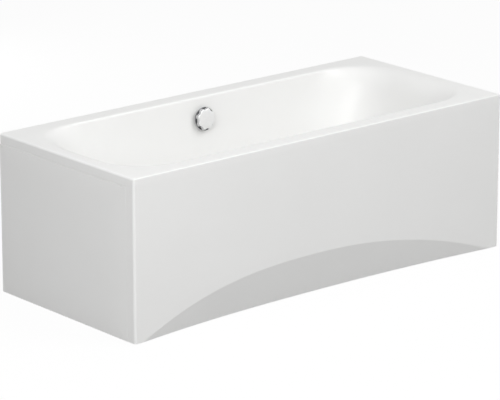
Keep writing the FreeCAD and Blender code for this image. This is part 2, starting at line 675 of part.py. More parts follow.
def clip_set(make):
    """Repeat a clip or its screw along the front and the left end."""
    front = make(FRONT_RETURN, FRONT_TOP - PANEL_WALL, SHELL_WALL + 2.0)
    front.Placement = FreeCAD.Placement(V(0, FRONT_FACE, 0), FreeCAD.Rotation(Z, 90)).multiply(front.Placement)
    end = make(END_FLANGE, END_TOP - PANEL_WALL, SHELL_WALL + 1.0)
    shapes = [moved(front, X * (FRONT_CLIP_PITCH * k)) for k in (-1, 0, 1)]
    shapes += [moved(end, V(LEFT_FACE, END_CLIP_PITCH * k, 0)) for k in (-0.5, 0.5)]
    return Part.makeCompound(shapes)


def clip_screw(depth, flange_underside, outer):
    """Screw from a clip up into its batten."""
    return screw(clip_screw_seat(outer), Z, SCREW_LENGTH)


def batten_holes(batten):
    """Drill a batten for the clip screws."""
    for hole in clip_set(clip_screw).Solids:
        batten = batten.cut(hole)
    return batten


def bracket_frames():
    """Placements of the panel brackets, each with X running from the panel's inner face to its leg bar."""
    frames = []
    for side in (-1, 1):
        spot = V(side * LEG_SPACING / 2, FRONT_FACE + PANEL_WALL, 0)
        frames.append(("front", FreeCAD.Placement(spot, FreeCAD.Rotation(Z, 90))))
    for side in (-0.5, 0.5):
        spot = V(LEFT_FACE + PANEL_WALL, side * STAY_SPACING, 0)
        frames.append(("end", FreeCAD.Placement(spot, FreeCAD.Rotation())))
    return frames


def bracket_reach(kind):
    """Distance from a panel's inner face to the bolt on the leg bar."""
    if kind == "front":
        return WIDTH / 2 - PANEL_WALL - LEG_LENGTH / 2 + BRACKET_LAP / 2
    return LENGTH / 2 - PANEL_WALL - LEG_SPACING / 2


def bolt_places():
    """Tops of the brackets where bolts go down through the leg bars."""
    top = BOARD_BOTTOM + BRACKET_SHEET
    return [frame.multVec(V(bracket_reach(kind), 0, top)) for kind, frame in bracket_frames()]


def bracket(kind):
    """Angle strip: one leaf bolted on the leg bar, the other screwed to the block behind the panel."""
    face = BLOCK_THICKNESS
    half = BRACKET_WIDTH / 2
    end = bracket_reach(kind) + BRACKET_LAP / 2
    strip = box(face, end, -half, half, BOARD_BOTTOM, BOARD_BOTTOM + BRACKET_SHEET)
    strip = strip.fuse(box(face, face + BRACKET_SHEET, -half, half, BOARD_BOTTOM, BLOCK_BASE + BLOCK_HEIGHT))
    strip = strip.cut(rod(BOLT_RADIUS, V(bracket_reach(kind), 0, BOARD_BOTTOM - 1.0), Z, BRACKET_SHEET + 2.0))
    return strip.cut(rod(SCREW_RADIUS, block_screw_seat() + X, X * -1, BRACKET_SHEET + 2.0))


def block_screw_seat():
    """Face of a bracket where its screw goes into the block."""
    return V(BLOCK_THICKNESS + BRACKET_SHEET, 0, BLOCK_BASE + BLOCK_HEIGHT / 2)


def brackets(wanted):
    """All brackets of one kind."""
    frames = [frame for kind, frame in bracket_frames() if kind == wanted]
    return Part.makeCompound([placed(bracket(wanted), frame) for frame in frames])


def placed(shape, frame):
    """Copy of a shape in a placement."""
    copy = shape.copy()
    copy.Placement = frame.multiply(copy.Placement)
    return copy


def panel_blocks():
    """Wooden blocks bonded behind the panels for the bracket screws."""
    half = BLOCK_LENGTH / 2
    block = box(0, BLOCK_THICKNESS, -half, half, BLOCK_BASE, BLOCK_BASE + BLOCK_HEIGHT)
    block = block.cut(screw(block_screw_seat(), X * -1, BRACKET_SHEET + BLOCK_SCREW_LENGTH))
    return Part.makeCompound([placed(block, frame) for kind, frame in bracket_frames()])


def block_screws():
    """Screws through the brackets into the blocks."""
    one = screw(block_screw_seat(), X * -1, BRACKET_SHEET + BLOCK_SCREW_LENGTH)
    return Part.makeCompound([placed(one, frame) for kind, frame in bracket_frames()])


def bracket_bolts():
    """Bolts through the brackets and the leg bar webs, each with its nut below."""
    bolts = []
    for top in bolt_places():
        shank = BRACKET_SHEET + LEG_SHEET + BOLT_HEAD + 2.0
        bolt = hexagon(BOLT_FLATS, top, Z, BOLT_HEAD).fuse(rod(BOLT_RADIUS, top - Z * shank, Z, shank))
        nut = hexagon(BOLT_FLATS, top - Z * (BRACKET_SHEET + LEG_SHEET + BOLT_HEAD), Z, BOLT_HEAD)
        bolts.append(bolt.fuse(nut))
    return Part.makeCompound(bolts)


def waste_flange():
    """Dished flange on the basin floor with a threaded sleeve and a cross that guides the lift pin."""
    inner = SLEEVE_RADIUS - SLEEVE_WALL
    low = SLEEVE_BOTTOM - FLOOR_TOP
    seat = FLANGE_SEAT - FLOOR_TOP
    top = FLANGE_TOP - FLOOR_TOP
    profile = [(inner, low), (SLEEVE_RADIUS, low), (SLEEVE_RADIUS, seat), (FLANGE_RADIUS, seat)]
    profile += [(FLANGE_RADIUS, seat + 0.8), (FLANGE_RADIUS - 2.5, top), (SEAL_OUTER, top), (inner, top - 2.0)]
    flange = turned(profile, DRAIN)
    base = DRAIN + Z * low
    cross = rod(PLUG_STEM_RADIUS, base, Z, 4.0)
    for x, y in ((inner + 0.5, 2.0), (2.0, inner + 0.5)):
        bar = box(DRAIN_X - x, DRAIN_X + x, DRAIN_Y - y, DRAIN_Y + y, base.z, base.z + 4.0)
        cross = cross.fuse(bar)
    return flange.fuse(cross).cut(rod(PIN_RADIUS + RUNNING_CLEARANCE, base - Z, Z, 6.0))


def waste_lower_gasket():
    """Rubber ring between the underside of the floor and the waste body."""
    return ring(BODY_FLANGE_RADIUS - 2.0, WASTE_HOLE, V(DRAIN_X, DRAIN_Y, BODY_TOP), Z, LOWER_GASKET)


def waste_body():
    """Plastic bowl under the floor: collar, overflow inlet, tailpiece, cable boss and lever bearings."""
    drop = BODY_FLANGE + BOWL_HEIGHT
    top = V(DRAIN_X, DRAIN_Y, BODY_TOP)
    body = rod(BODY_FLANGE_RADIUS, top - Z * BODY_FLANGE, Z, BODY_FLANGE)
    body = body.fuse(rod(BOWL_RADIUS, top - Z * drop, Z, drop))
    inlet = V(DRAIN_X, DRAIN_Y, INLET_Z)
    body = body.fuse(rod(PIPE_RADIUS, inlet, Y, INLET_REACH))
    tail = V(DRAIN_X, DRAIN_Y, TAIL_END)
    body = body.fuse(rod(TAIL_RADIUS, tail, Z, TAIL_LENGTH + PLASTIC_WALL))
    boss = V(DRAIN_X + CABLE_OFFSET, DRAIN_Y, INLET_Z)
    body = body.fuse(rod(CABLE_BOSS_RADIUS, boss, Y, INLET_REACH - CABLE_BOSS_LENGTH))
    hollow = rod(BOWL_RADIUS - PLASTIC_WALL, top - Z * (drop - PLASTIC_WALL), Z, BOWL_HEIGHT - PLASTIC_WALL)
    hollow = hollow.fuse(rod(SLEEVE_RADIUS, top - Z * drop / 2, Z, drop))
    hollow = hollow.fuse(rod(PIPE_RADIUS - PIPE_WALL, inlet, Y, INLET_REACH + 1.0))
    hollow = hollow.fuse(rod(TAIL_RADIUS - TAIL_WALL, tail - Z, Z, TAIL_LENGTH + 2 * PLASTIC_WALL))
    hollow = hollow.fuse(rod(CABLE_RADIUS, boss, Y, INLET_REACH))
    return body.cut(hollow).cut(lever_shaft(RUNNING_CLEARANCE, SEAT_GAP))


def lever_pivot():
    """Middle of the lift lever's shaft, to the left of the lift pin's foot."""
    return V(DRAIN_X - LEVER_ARM, DRAIN_Y, LEVER_Z)


def lever_shaft(clearance, end_play):
    """Shaft of the lift lever between its bearings in the bowl's wall."""
    chord = math.sqrt((BOWL_RADIUS - PLASTIC_WALL) ** 2 - LEVER_ARM ** 2)
    half = chord + PLASTIC_WALL / 2 + end_play
    return rod(LEVER_SHAFT + clearance, lever_pivot() - Y * half, Y, 2 * half)


def lift_lever():
    """Lever in the waste body that tips under the lift pin when the cable pulls."""
    pivot = lever_pivot()
    low = pivot.z - LEVER_THICKNESS / 2
    half = LEVER_WIDTH / 2
    arm = box(pivot.x, DRAIN_X + PIN_RADIUS, DRAIN_Y - half, DRAIN_Y + half, low, low + LEVER_THICKNESS)
    hub = rod(LEVER_SHAFT + 2.0, pivot - Y * LEVER_WIDTH, Y, 2 * LEVER_WIDTH)
    return arm.fuse(hub).fuse(lever_shaft(0.0, 0.0))


def lift_pin():
    """Steel pin that slides in the flange's cross and pushes the plug up."""
    pin = rod(PIN_RADIUS, V(DRAIN_X, DRAIN_Y, PIN_FOOT), Z, FLANGE_TOP - PIN_FOOT)
    return pin.makeChamfer(0.5, [e for e in pin.Edges if e.BoundBox.ZLength < 0.1])


def plug_base():
    """Underside of the plug's seal when the plug is down."""
    return FLANGE_TOP + SEAT_GAP


def plug():
    """Low domed cap with a hollow stem that stands on the lift pin."""
    base = V(DRAIN_X, DRAIN_Y, plug_base() + SEAL_THICKNESS)
    cap = rod(PLUG_RADIUS, base, Z, PLUG_CAP)
    crown = PLUG_CAP + PLUG_DOME
    sphere = (PLUG_RADIUS ** 2 + PLUG_DOME ** 2) / (2 * PLUG_DOME)
    dome = Part.makeSphere(sphere, base + Z * (crown - sphere))
    dome = dome.common(rod(PLUG_RADIUS, base + Z * PLUG_CAP, Z, crown))
    stem = rod(PLUG_STEM_RADIUS, base - Z * PLUG_STEM, Z, PLUG_STEM)
    bore_depth = PLUG_STEM - SEAL_THICKNESS
    bore = rod(PIN_RADIUS + RUNNING_CLEARANCE, base - Z * (PLUG_STEM + 1.0), Z, bore_depth + 1.0)
    return cap.fuse(dome).fuse(stem).cut(bore)


def plug_seal():
    """Rubber ring under the plug's cap."""
    return ring(SEAL_OUTER, PLUG_STEM_RADIUS, V(DRAIN_X, DRAIN_Y, plug_base()), Z, SEAL_THICKNESS)


def trap_points():
    """Corner points of the trap: down, along the floor, up and out."""
    start = V(DRAIN_X, DRAIN_Y, TAIL_END)
    low = V(DRAIN_X, DRAIN_Y, TRAP_LOW)
    far = low + X * (2 * TRAP_BEND + TRAP_FLOOR_RUN)
    high = V(far.x, far.y, TRAP_CREST)
    return [start, low, far, high, high + X * (TRAP_BEND + TRAP_LEAD)]


def trap_bend():
    """Water trap bent from one pipe."""
    return swept_tube(bent_path(trap_points(), TRAP_BEND), TAIL_RADIUS, TAIL_WALL)


def outlet_pipe():
    """Straight outlet towards the open end of the bath, with a stop ring beside its nut."""
    start = trap_points()[-1]
    pipe = rod(TAIL_RADIUS, start, X, OUTLET_START + OUTLET_FREE)
    stop = rod(TAIL_RADIUS + STOP_RING_RISE, start + X * (OUTLET_START - STOP_RING), X, STOP_RING)
    return pipe.fuse(stop).cut(rod(TAIL_RADIUS - TAIL_WALL, start, X, OUTLET_START + OUTLET_FREE))


def overflow_rosette():
    """Chrome ring on the basin wall with a threaded sleeve and a three-armed spindle bearing."""
    inner = ROSETTE_SLEEVE - ROSETTE_WALL
    top = ROSETTE_THICKNESS
    profile = [(inner, -ROSETTE_DROP), (ROSETTE_SLEEVE, -ROSETTE_DROP), (ROSETTE_SLEEVE, 0)]
    profile += [(ROSETTE_RADIUS, 0), (ROSETTE_RADIUS, top - 2.0), (ROSETTE_RADIUS - 2.0, top), (inner, top)]
    rosette = turned(profile, V(0, 0, 0))
    arms = rod(HUB_RADIUS, V(0, 0, -SPOKE_DEPTH), Z, SPOKE_DEPTH)
    for k in range(3):
        arm = box(0, inner + 0.5, -SPOKE_WIDTH / 2, SPOKE_WIDTH / 2, -SPOKE_DEPTH, 0)
        arm.rotate(V(0, 0, 0), Z, 90 + 120 * k)
        arms = arms.fuse(arm)
    bore = rod(SPINDLE_RADIUS + RUNNING_CLEARANCE, V(0, 0, -2 * SPOKE_DEPTH), Z, 4 * SPOKE_DEPTH)
    return on_wall(rosette.fuse(arms).cut(bore))


def overflow_body():
    """Plastic cup behind the wall: threaded flange, rear spindle bearing, pipe spigot and cable boss."""
    front = -OVERFLOW_WALL - OVERFLOW_GASKET
    back = front - CUP_DEPTH
    cup = rod(OVERFLOW_FLANGE_RADIUS, V(0, 0, front - OVERFLOW_FLANGE), Z, OVERFLOW_FLANGE)
    cup = on_wall(cup.fuse(rod(CUP_RADIUS, V(0, 0, back), Z, CUP_DEPTH)))
    spigot = V(PIPE_AXIS.x, PIPE_AXIS.y, SPIGOT_END)
    boss = spigot + X * CABLE_OFFSET + Z * (SPIGOT_LENGTH - CABLE_BOSS_LENGTH)
    cup = cup.fuse(rod(PIPE_RADIUS, spigot, Z, SPIGOT_LENGTH))
    cup = cup.fuse(rod(CABLE_BOSS_RADIUS, boss, Z, CABLE_BOSS_LENGTH))
    depth = CUP_DEPTH - OVERFLOW_FLANGE - PLASTIC_WALL
    hollow = rod(CUP_RADIUS - PLASTIC_WALL, V(0, 0, back + PLASTIC_WALL), Z, depth)
    hollow = hollow.fuse(rod(ROSETTE_SLEEVE, V(0, 0, front - 2 * OVERFLOW_FLANGE), Z, 3 * OVERFLOW_FLANGE))
    bearing = rod(HUB_RADIUS, V(0, 0, back), Z, 2 * PLASTIC_WALL)
    socket = rod(SPINDLE_RADIUS + RUNNING_CLEARANCE, V(0, 0, back + PLASTIC_WALL), Z, 2 * PLASTIC_WALL)
    cup = cup.cut(on_wall(hollow)).cut(rod(PIPE_RADIUS - PIPE_WALL, spigot - Z, Z, SPIGOT_LENGTH))
    cup = cup.cut(rod(CABLE_RADIUS, boss - Z, Z, CABLE_BOSS_LENGTH - 4.0))
    return cup.fuse(on_wall(bearing.cut(socket)))


def overflow_gasket():
    """Rubber ring between the basin wall and the overflow body."""
    back = V(0, 0, -OVERFLOW_WALL - OVERFLOW_GASKET)
    return on_wall(ring(OVERFLOW_FLANGE_RADIUS - 1.0, OVERFLOW_HOLE, back, Z, OVERFLOW_GASKET))


def spindle_back():
    """Rear end of the knob's spindle in the body's bearing."""
    return -OVERFLOW_WALL - OVERFLOW_GASKET - CUP_DEPTH + PLASTIC_WALL + SEAT_GAP


def knob_base():
    """Rear face of the knob above the basin wall."""
    return ROSETTE_THICKNESS + KNOB_GAP


def overflow_spindle():
    """Steel shaft from the knob through the rosette to the body's rear bearing."""
    front = knob_base() + KNOB_HEIGHT - 2 * KNOB_WALL
    return on_wall(rod(SPINDLE_RADIUS, V(0, 0, spindle_back()), Z, front - spindle_back()))


def overflow_crank():
    """Crank arm on the spindle that pulls the cable inside the overflow body."""
    low = spindle_back() + 2 * PLASTIC_WALL
    disc = rod(SPINDLE_RADIUS + 3.0, V(0, 0, low), Z, CRANK_THICKNESS)
    tip = rod(SPINDLE_RADIUS, V(CRANK_LENGTH, 0, low), Z, CRANK_THICKNESS)
    arm = box(0, CRANK_LENGTH, -SPINDLE_RADIUS, SPINDLE_RADIUS, low, low + CRANK_THICKNESS)
    bore = rod(SPINDLE_RADIUS, V(0, 0, low - 1.0), Z, CRANK_THICKNESS + 2.0)
    return on_wall(disc.fuse(arm).fuse(tip).cut(bore))


def overflow_knob():
    """Chrome cup knob with finger scallops round its face and a plain ring at its base."""
    low = knob_base()
    knob = rod(KNOB_RADIUS, V(0, 0, low), Z, KNOB_HEIGHT)
    centre_radius = KNOB_RADIUS + SCALLOP_RADIUS - SCALLOP_DEPTH
    for k in range(KNOB_SCALLOPS):
        turn = math.radians(SCALLOP_PHASE + 360.0 * k / KNOB_SCALLOPS)
        place = V(centre_radius * math.cos(turn), centre_radius * math.sin(turn), low + KNOB_BASE)
        knob = knob.cut(rod(SCALLOP_RADIUS, place, Z, KNOB_HEIGHT))
    room = KNOB_RADIUS - SCALLOP_DEPTH - KNOB_WALL
    cavity = rod(room, V(0, 0, low - 1.0), Z, KNOB_HEIGHT - KNOB_WALL + 1.0)
    hub = rod(HUB_RADIUS, V(0, 0, low), Z, KNOB_HEIGHT - KNOB_WALL)
    bore = rod(SPINDLE_RADIUS, V(0, 0, low - 1.0), Z, KNOB_HEIGHT - 2 * KNOB_WALL + 1.0)
    face_edges = [e for e in knob.Edges if e.BoundBox.ZMin > low + KNOB_HEIGHT - 0.1]
    knob = knob.makeFillet(1.2, face_edges)
    return on_wall(knob.cut(cavity.cut(hub)).cut(bore))


def overflow_pipe():
    """Rigid pipe from the overflow body down the back of the basin to the waste body."""
    corner = V(PIPE_AXIS.x, PIPE_AXIS.y, INLET_Z)
    points = [V(PIPE_AXIS.x, PIPE_AXIS.y, SPIGOT_END), corner, V(DRAIN_X, DRAIN_Y + INLET_REACH, INLET_Z)]
    return swept_tube(bent_path(points, PIPE_BEND), PIPE_RADIUS, PIPE_WALL)


def overflow_pipe_nuts():
    """Pipe nuts at both ends of the overflow pipe."""
    upper = V(PIPE_AXIS.x, PIPE_AXIS.y, SPIGOT_END - PIPE_NUT_LENGTH / 2)
    lower = V(DRAIN_X, DRAIN_Y + INLET_REACH - PIPE_NUT_LENGTH / 2, INLET_Z)
    nuts = [coupling_nut(PIPE_RADIUS, place, axis, PIPE_NUT_LENGTH) for place, axis in ((upper, Z), (lower, Y))]
    return Part.makeCompound(nuts)


def bowden_cable():
    """Sheathed cable beside the pipe, held in the bosses of both bodies."""
    top = V(PIPE_AXIS.x + CABLE_OFFSET, PIPE_AXIS.y, SPIGOT_END + SPIGOT_LENGTH - CABLE_BOSS_LENGTH / 2)
    corner = V(top.x, top.y, INLET_Z)
    end = V(top.x, DRAIN_Y + INLET_REACH - CABLE_BOSS_LENGTH - 4.0, INLET_Z)
    return swept_tube(bent_path([top, corner, end], CABLE_BEND), CABLE_RADIUS, CABLE_RADIUS)


def cable_clips():
    """Plastic clips that hold the cable to the overflow pipe, spread over its upright run."""
    clips = []
    low = INLET_Z + PIPE_BEND
    pitch = (SPIGOT_END - low) / (CABLE_CLIPS + 1)
    for k in range(CABLE_CLIPS):
        base = V(PIPE_AXIS.x, PIPE_AXIS.y, low + pitch * (k + 1))
        side = base + X * CABLE_OFFSET
        top = base.z + CABLE_CLIP_WIDTH
        clip = rod(PIPE_RADIUS + CABLE_CLIP_WALL, base, Z, CABLE_CLIP_WIDTH)
        clip = clip.fuse(rod(CABLE_RADIUS + CABLE_CLIP_WALL, side, Z, CABLE_CLIP_WIDTH))
        clip = clip.fuse(box(base.x, side.x, base.y - CABLE_CLIP_WALL, base.y + CABLE_CLIP_WALL, base.z, top))
        clip = clip.cut(rod(PIPE_RADIUS, base, Z, CABLE_CLIP_WIDTH))
        clip = clip.cut(rod(CABLE_RADIUS, side, Z, CABLE_CLIP_WIDTH))
        clips.append(clip)
    return Part.makeCompound(clips)


nodes = {
    "tub_shell": tub_shell(),
    "front_panel": front_panel(),
    "end_panel": end_panel(),
    "floor_board": floor_board(),
    "rim_batten_front": batten_holes(side_batten(-1)),
    "rim_batten_back": side_batten(1),
    "rim_batten_left": batten_holes(end_batten(-1)),
    "rim_batten_right": end_batten(1),
    "leg_bar_left": leg_bar(-1),
    "leg_bar_right": leg_bar(1),
    "leg_screws": Part.makeCompound([screw(place, Z, SCREW_LENGTH) for place in leg_screw_places()]),
    "foot_nuts": Part.makeCompound([foot_nut(place) for place in foot_places().values()]),
    "panel_clips": clip_set(panel_clip),
    "clip_screws": clip_set(clip_screw),
    "panel_blocks": panel_blocks(),
    "front_panel_brackets": brackets("front"),
    "end_panel_stays": brackets("end"),
    "bracket_bolts": bracket_bolts(),
    "block_screws": block_screws(),
    "waste_flange": waste_flange(),
    "waste_upper_gasket": ring(FLANGE_RADIUS - 1.0, WASTE_HOLE, DRAIN, Z, UPPER_GASKET),
    "waste_lower_gasket": waste_lower_gasket(),
    "waste_body": waste_body(),
    "lift_lever": lift_lever(),
    "lift_pin": lift_pin(),
    "plug": plug(),
    "plug_seal": plug_seal(),
    "trap_nut": coupling_nut(TAIL_RADIUS, V(DRAIN_X, DRAIN_Y, TAIL_END - 2.0), Z, PIPE_NUT_LENGTH),
    "trap_bend": trap_bend(),
    "outlet_nut": coupling_nut(TAIL_RADIUS, trap_points()[-1] - X * (PIPE_NUT_LENGTH / 2), X, PIPE_NUT_LENGTH),
    "outlet_pipe": outlet_pipe(),
    "overflow_rosette": overflow_rosette(),
    "overflow_gasket": overflow_gasket(),
    "overflow_body": overflow_body(),
    "overflow_spindle": overflow_spindle(),
    "overflow_crank": overflow_crank(),
    "overflow_knob": overflow_knob(),
    "overflow_pipe": overflow_pipe(),
    "overflow_pipe_nuts": overflow_pipe_nuts(),
    "bowden_cable": bowden_cable(),
    "cable_clips": cable_clips(),
}
for corner_name, corner_place in foot_places().items():
    nodes["foot_pad_" + corner_name] = foot_pad(corner_place)
    nodes["foot_stud_" + corner_name] = foot_stud(corner_place)

os.makedirs("parts", exist_ok=True)
for name, shape in nodes.items():
    shape.exportStep("parts/" + name + ".step")
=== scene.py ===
import bpy
import bmesh
import math
import numpy as np
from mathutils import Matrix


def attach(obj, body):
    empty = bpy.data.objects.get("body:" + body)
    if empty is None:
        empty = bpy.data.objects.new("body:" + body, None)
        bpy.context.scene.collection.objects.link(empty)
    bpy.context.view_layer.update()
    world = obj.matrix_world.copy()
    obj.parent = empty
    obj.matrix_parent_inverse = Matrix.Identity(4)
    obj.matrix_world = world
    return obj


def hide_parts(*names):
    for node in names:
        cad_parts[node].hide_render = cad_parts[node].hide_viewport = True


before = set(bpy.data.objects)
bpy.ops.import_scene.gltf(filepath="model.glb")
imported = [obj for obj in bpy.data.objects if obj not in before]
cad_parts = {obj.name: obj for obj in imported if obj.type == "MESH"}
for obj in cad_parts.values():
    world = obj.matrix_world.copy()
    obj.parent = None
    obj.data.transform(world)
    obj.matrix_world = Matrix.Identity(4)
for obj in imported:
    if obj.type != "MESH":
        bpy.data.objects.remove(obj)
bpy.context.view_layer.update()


# Tub shell: one sheet of white acrylic, warmed and drawn into a mould, so rim, lip and basin are a single
# skin 5 mm thick. The rim turns over into a lip, and the waste and overflow holes are drilled after forming.
TUB_LENGTH = 1.700
TUB_WIDTH = 0.750
RIM_TOP = 0.580
RIM_EDGE = 0.0045
END_EDGE = 0.008
RIM_CORNER = 0.009
CORNER_SHRINK = 0.95
SHEET = 0.005
INNER_EDGE = 0.0008
INNER_CORNER = 0.0012
LIP_BOTTOM = 0.545
LIP_CHAMFER = 0.0001
FLOOR_TOP = 0.150
BASIN_LENGTH = 1.636
BASIN_WIDTH = 0.624
BASIN_DEPTH = RIM_TOP - FLOOR_TOP
BASIN_CORNER = 0.8
RIM_POWER = 2.5
FLOOR_POWER = 2.2
RIM_BREAK = math.radians(6)
END_WALL = (0.110, 24, 0.140)
SIDE_WALL = (0.009, 7, 0.110)
RUN_DEPTHS = (0.10, 0.33)
DRAIN = np.array([-0.0025, 0.106855, FLOOR_TOP])
DRAIN_RADIUS = 0.026
OVERFLOW = np.array([-0.0025, 0.294653, 0.500061])
OVERFLOW_RADIUS = 0.021
HOLE_DEPTH = 0.012
WALL_TILT = math.radians(7)
# Painted edge highlight: a point counts as on an edge's arc past this share of its radius.
HIGHLIGHT_ARC = 0.9

# Columns run round the plan in four quarters. Over each, q goes from -1 to 1, and facing is the way a rounded
# oblong looks there: steady along its straight sides, turning on the corner's arc in the quarter's middle.
QUARTER_STEPS = 64
ARC_SHARE = 0.125
SIDE_SPACING = 1.3
END_SHARE, BEND_SHARE, SIDE_SHARE = 0.125, 0.625, 0.25
steps = np.arange(4 * QUARTER_STEPS)
quarter = steps // QUARTER_STEPS
q = (steps % QUARTER_STEPS) / (QUARTER_STEPS / 2) - 1
diagonal = np.radians(45 + 90 * quarter)
facing = diagonal + np.radians(45) * np.clip(q / ARC_SHARE, -1, 1)


def placed(name, mesh, crease):
    """Object of a mesh, smooth apart from the edges that turn by more than the crease in degrees."""
    mesh.shade_smooth()
    mesh.set_sharp_from_angle(angle=math.radians(crease))
    piece = bpy.data.objects.new(name, mesh)
    bpy.context.scene.collection.objects.link(piece)
    return piece


def skin(name, points, around=False, over=False, crease=30):
    """Mesh over a grid of points, rows by columns by xyz, with a quad between each four neighbours.

    around joins the last column to the first, over joins the last row to the first. Points that coincide
    are merged, which closes poles, and the faces are turned so that the enclosed volume is positive.
    """
    rows, cols = points.shape[:2]
    index = np.arange(rows * cols).reshape(rows, cols)
    if around:
        index = np.concatenate([index, index[:, :1]], axis=1)
    if over:
        index = np.concatenate([index, index[:1]], axis=0)
    quads = np.stack([index[:-1, :-1], index[:-1, 1:], index[1:, 1:], index[1:, :-1]], axis=-1).reshape(-1, 4)
    flat = points.reshape(-1, 3)
    a, b, c, d = (flat[quads[:, k]] for k in range(4))
    volume = np.einsum("ij,ij->i", a, np.cross(b, c)).sum() + np.einsum("ij,ij->i", a, np.cross(c, d)).sum()
    if volume < 0:
        quads = quads[:, ::-1]
    mesh = bpy.data.meshes.new(name)
    mesh.from_pydata(flat.tolist(), [], quads.tolist())
    merge = bmesh.new()
    merge.from_mesh(mesh)
    bmesh.ops.remove_doubles(merge, verts=merge.verts, dist=1e-6)
    merge.to_mesh(mesh)
    merge.free()
    return placed(name, mesh, crease)


def wall_inset(depth, skin_depth, roll, slope, sweep):
    """Distance of a basin wall inside the opening at a depth: an arc that rolls off the rim, breaking it by
    6 degrees, a straight run at a slope to the upright, and an arc that sweeps into the floor."""
    turn = math.radians(90 - slope)
    roll_radius = roll - skin_depth
    sweep_radius = sweep + skin_depth
    roll_in = roll * math.sin(RIM_BREAK)
    roll_down = roll * math.cos(RIM_BREAK)
    sweep_down = BASIN_DEPTH - sweep
    run = sweep_down + sweep * math.cos(turn) - roll_down + roll * math.cos(turn)
    floor = (roll + sweep) * math.sin(turn) - roll_in + run / math.tan(turn)
    roll_end = roll_down - roll_radius * math.cos(turn)
    sweep_start = sweep_down + sweep_radius * math.cos(turn)
    on_roll = np.sqrt(np.maximum(roll_radius ** 2 - (roll_down - depth) ** 2, 0)) - roll_in
    on_run = roll_radius * math.sin(turn) - roll_in + (depth - roll_end) / math.tan(turn)
    on_sweep = floor - np.sqrt(np.maximum(sweep_radius ** 2 - (depth - sweep_down) ** 2, 0))
    return np.where(depth < roll_end, on_roll, np.where(depth < sweep_start, on_run, on_sweep))


def basin_rows(depths, skin_depth):
    """Rows of the basin: oblongs whose half axes are the opening less the wall insets. Each corner takes 0.8
    of the half width along both sides, as a superellipse whose power falls from the rim to the floor."""
    depth = depths[:, None]
    length = BASIN_LENGTH / 2 - wall_inset(depth, skin_depth, *END_WALL)
    width = BASIN_WIDTH / 2 - wall_inset(depth, skin_depth, *SIDE_WALL)
    power = RIM_POWER + (FLOOR_POWER - RIM_POWER) * np.clip(depth / BASIN_DEPTH, 0, 1)
    share = np.where(quarter % 2 == 0, 1 + q, 1 - q) / 2
    bend = math.pi / 2 * np.clip((share - END_SHARE) / BEND_SHARE, 0, 1)
    corner = BASIN_CORNER * width
    along = (length - corner) * np.clip((1 - share) / SIDE_SHARE, 0, 1)
    across = (width - corner) * np.clip(share / END_SHARE, 0, 1)
    x = along + corner * np.abs(np.cos(bend)) ** (2 / power)
    y = across + corner * np.abs(np.sin(bend)) ** (2 / power)
    x = x * np.where((quarter == 0) | (quarter == 3), 1, -1)
    y = y * np.where(quarter < 2, 1, -1)
    return np.stack([x, y, RIM_TOP - depth + 0 * x], axis=-1)


def basin_depths(skin_depth):
    """Depths at equal turns round the rolls and sweeps of both walls, and equal steps down the straight run,
    less those that all but meet the first or the last."""
    found = [np.linspace(*RUN_DEPTHS, 9)]
    for roll, slope, sweep in (END_WALL, SIDE_WALL):
        turn = math.radians(90 - slope)
        rolling = np.linspace(RIM_BREAK, turn, 9)
        sweeping = np.linspace(turn, 0, 15)
        found.append(roll * math.cos(RIM_BREAK) - (roll - skin_depth) * np.cos(rolling))
        found.append(BASIN_DEPTH - sweep + (sweep + skin_depth) * np.cos(sweeping))
    depths = np.unique(np.round(np.concatenate(found), 5))
    between = (depths > skin_depth + 0.0002) & (depths < BASIN_DEPTH + skin_depth - 0.00002)
    return np.concatenate([[skin_depth], depths[between], [BASIN_DEPTH + skin_depth]])


def oblong(half_length, half_width, radius):
    """Rounded oblong: the middle eighth of each quarter lies on the corner's arc and the rest on the two
    straight sides, where the columns are gathered towards the corner by a power of 1.3."""
    along = 1 - np.clip((np.abs(q) - ARC_SHARE) / (1 - ARC_SHARE), 0, 1) ** SIDE_SPACING
    on_end = (q < 0) == (quarter % 2 == 0)
    middle_x = np.sign(np.cos(diagonal)) * (half_length - radius) * np.where(on_end, 1, along)
    middle_y = np.sign(np.sin(diagonal)) * (half_width - radius) * np.where(on_end, along, 1)
    return np.stack([middle_x + radius * np.cos(facing), middle_y + radius * np.sin(facing)], axis=-1)


def rim_row(inset, height, radius):
    """Row round the rim at an inset from its outer face."""
    plan = oblong(TUB_LENGTH / 2 - inset, TUB_WIDTH / 2 - inset, radius)
    return np.concatenate([plan, (height + 0 * q)[:, None]], axis=1)


def even_ring(columns):
    """Equal angles once round."""
    return np.linspace(0, 2 * math.pi, columns, endpoint=False)


def about_z(radius, height, ring):
    """Points at a radius and a height for each angle of a ring about Z."""
    x, y, z = np.broadcast_arrays(radius * np.cos(ring), radius * np.sin(ring), height + 0 * ring)
    return np.stack([x, y, z], axis=-1)


def turned(profile, columns):
    """Grid of a profile of radius and height turned about Z."""
    radius, height = (np.array(profile, dtype=float)[:, k, None] for k in range(2))
    return about_z(radius, height, even_ring(columns))


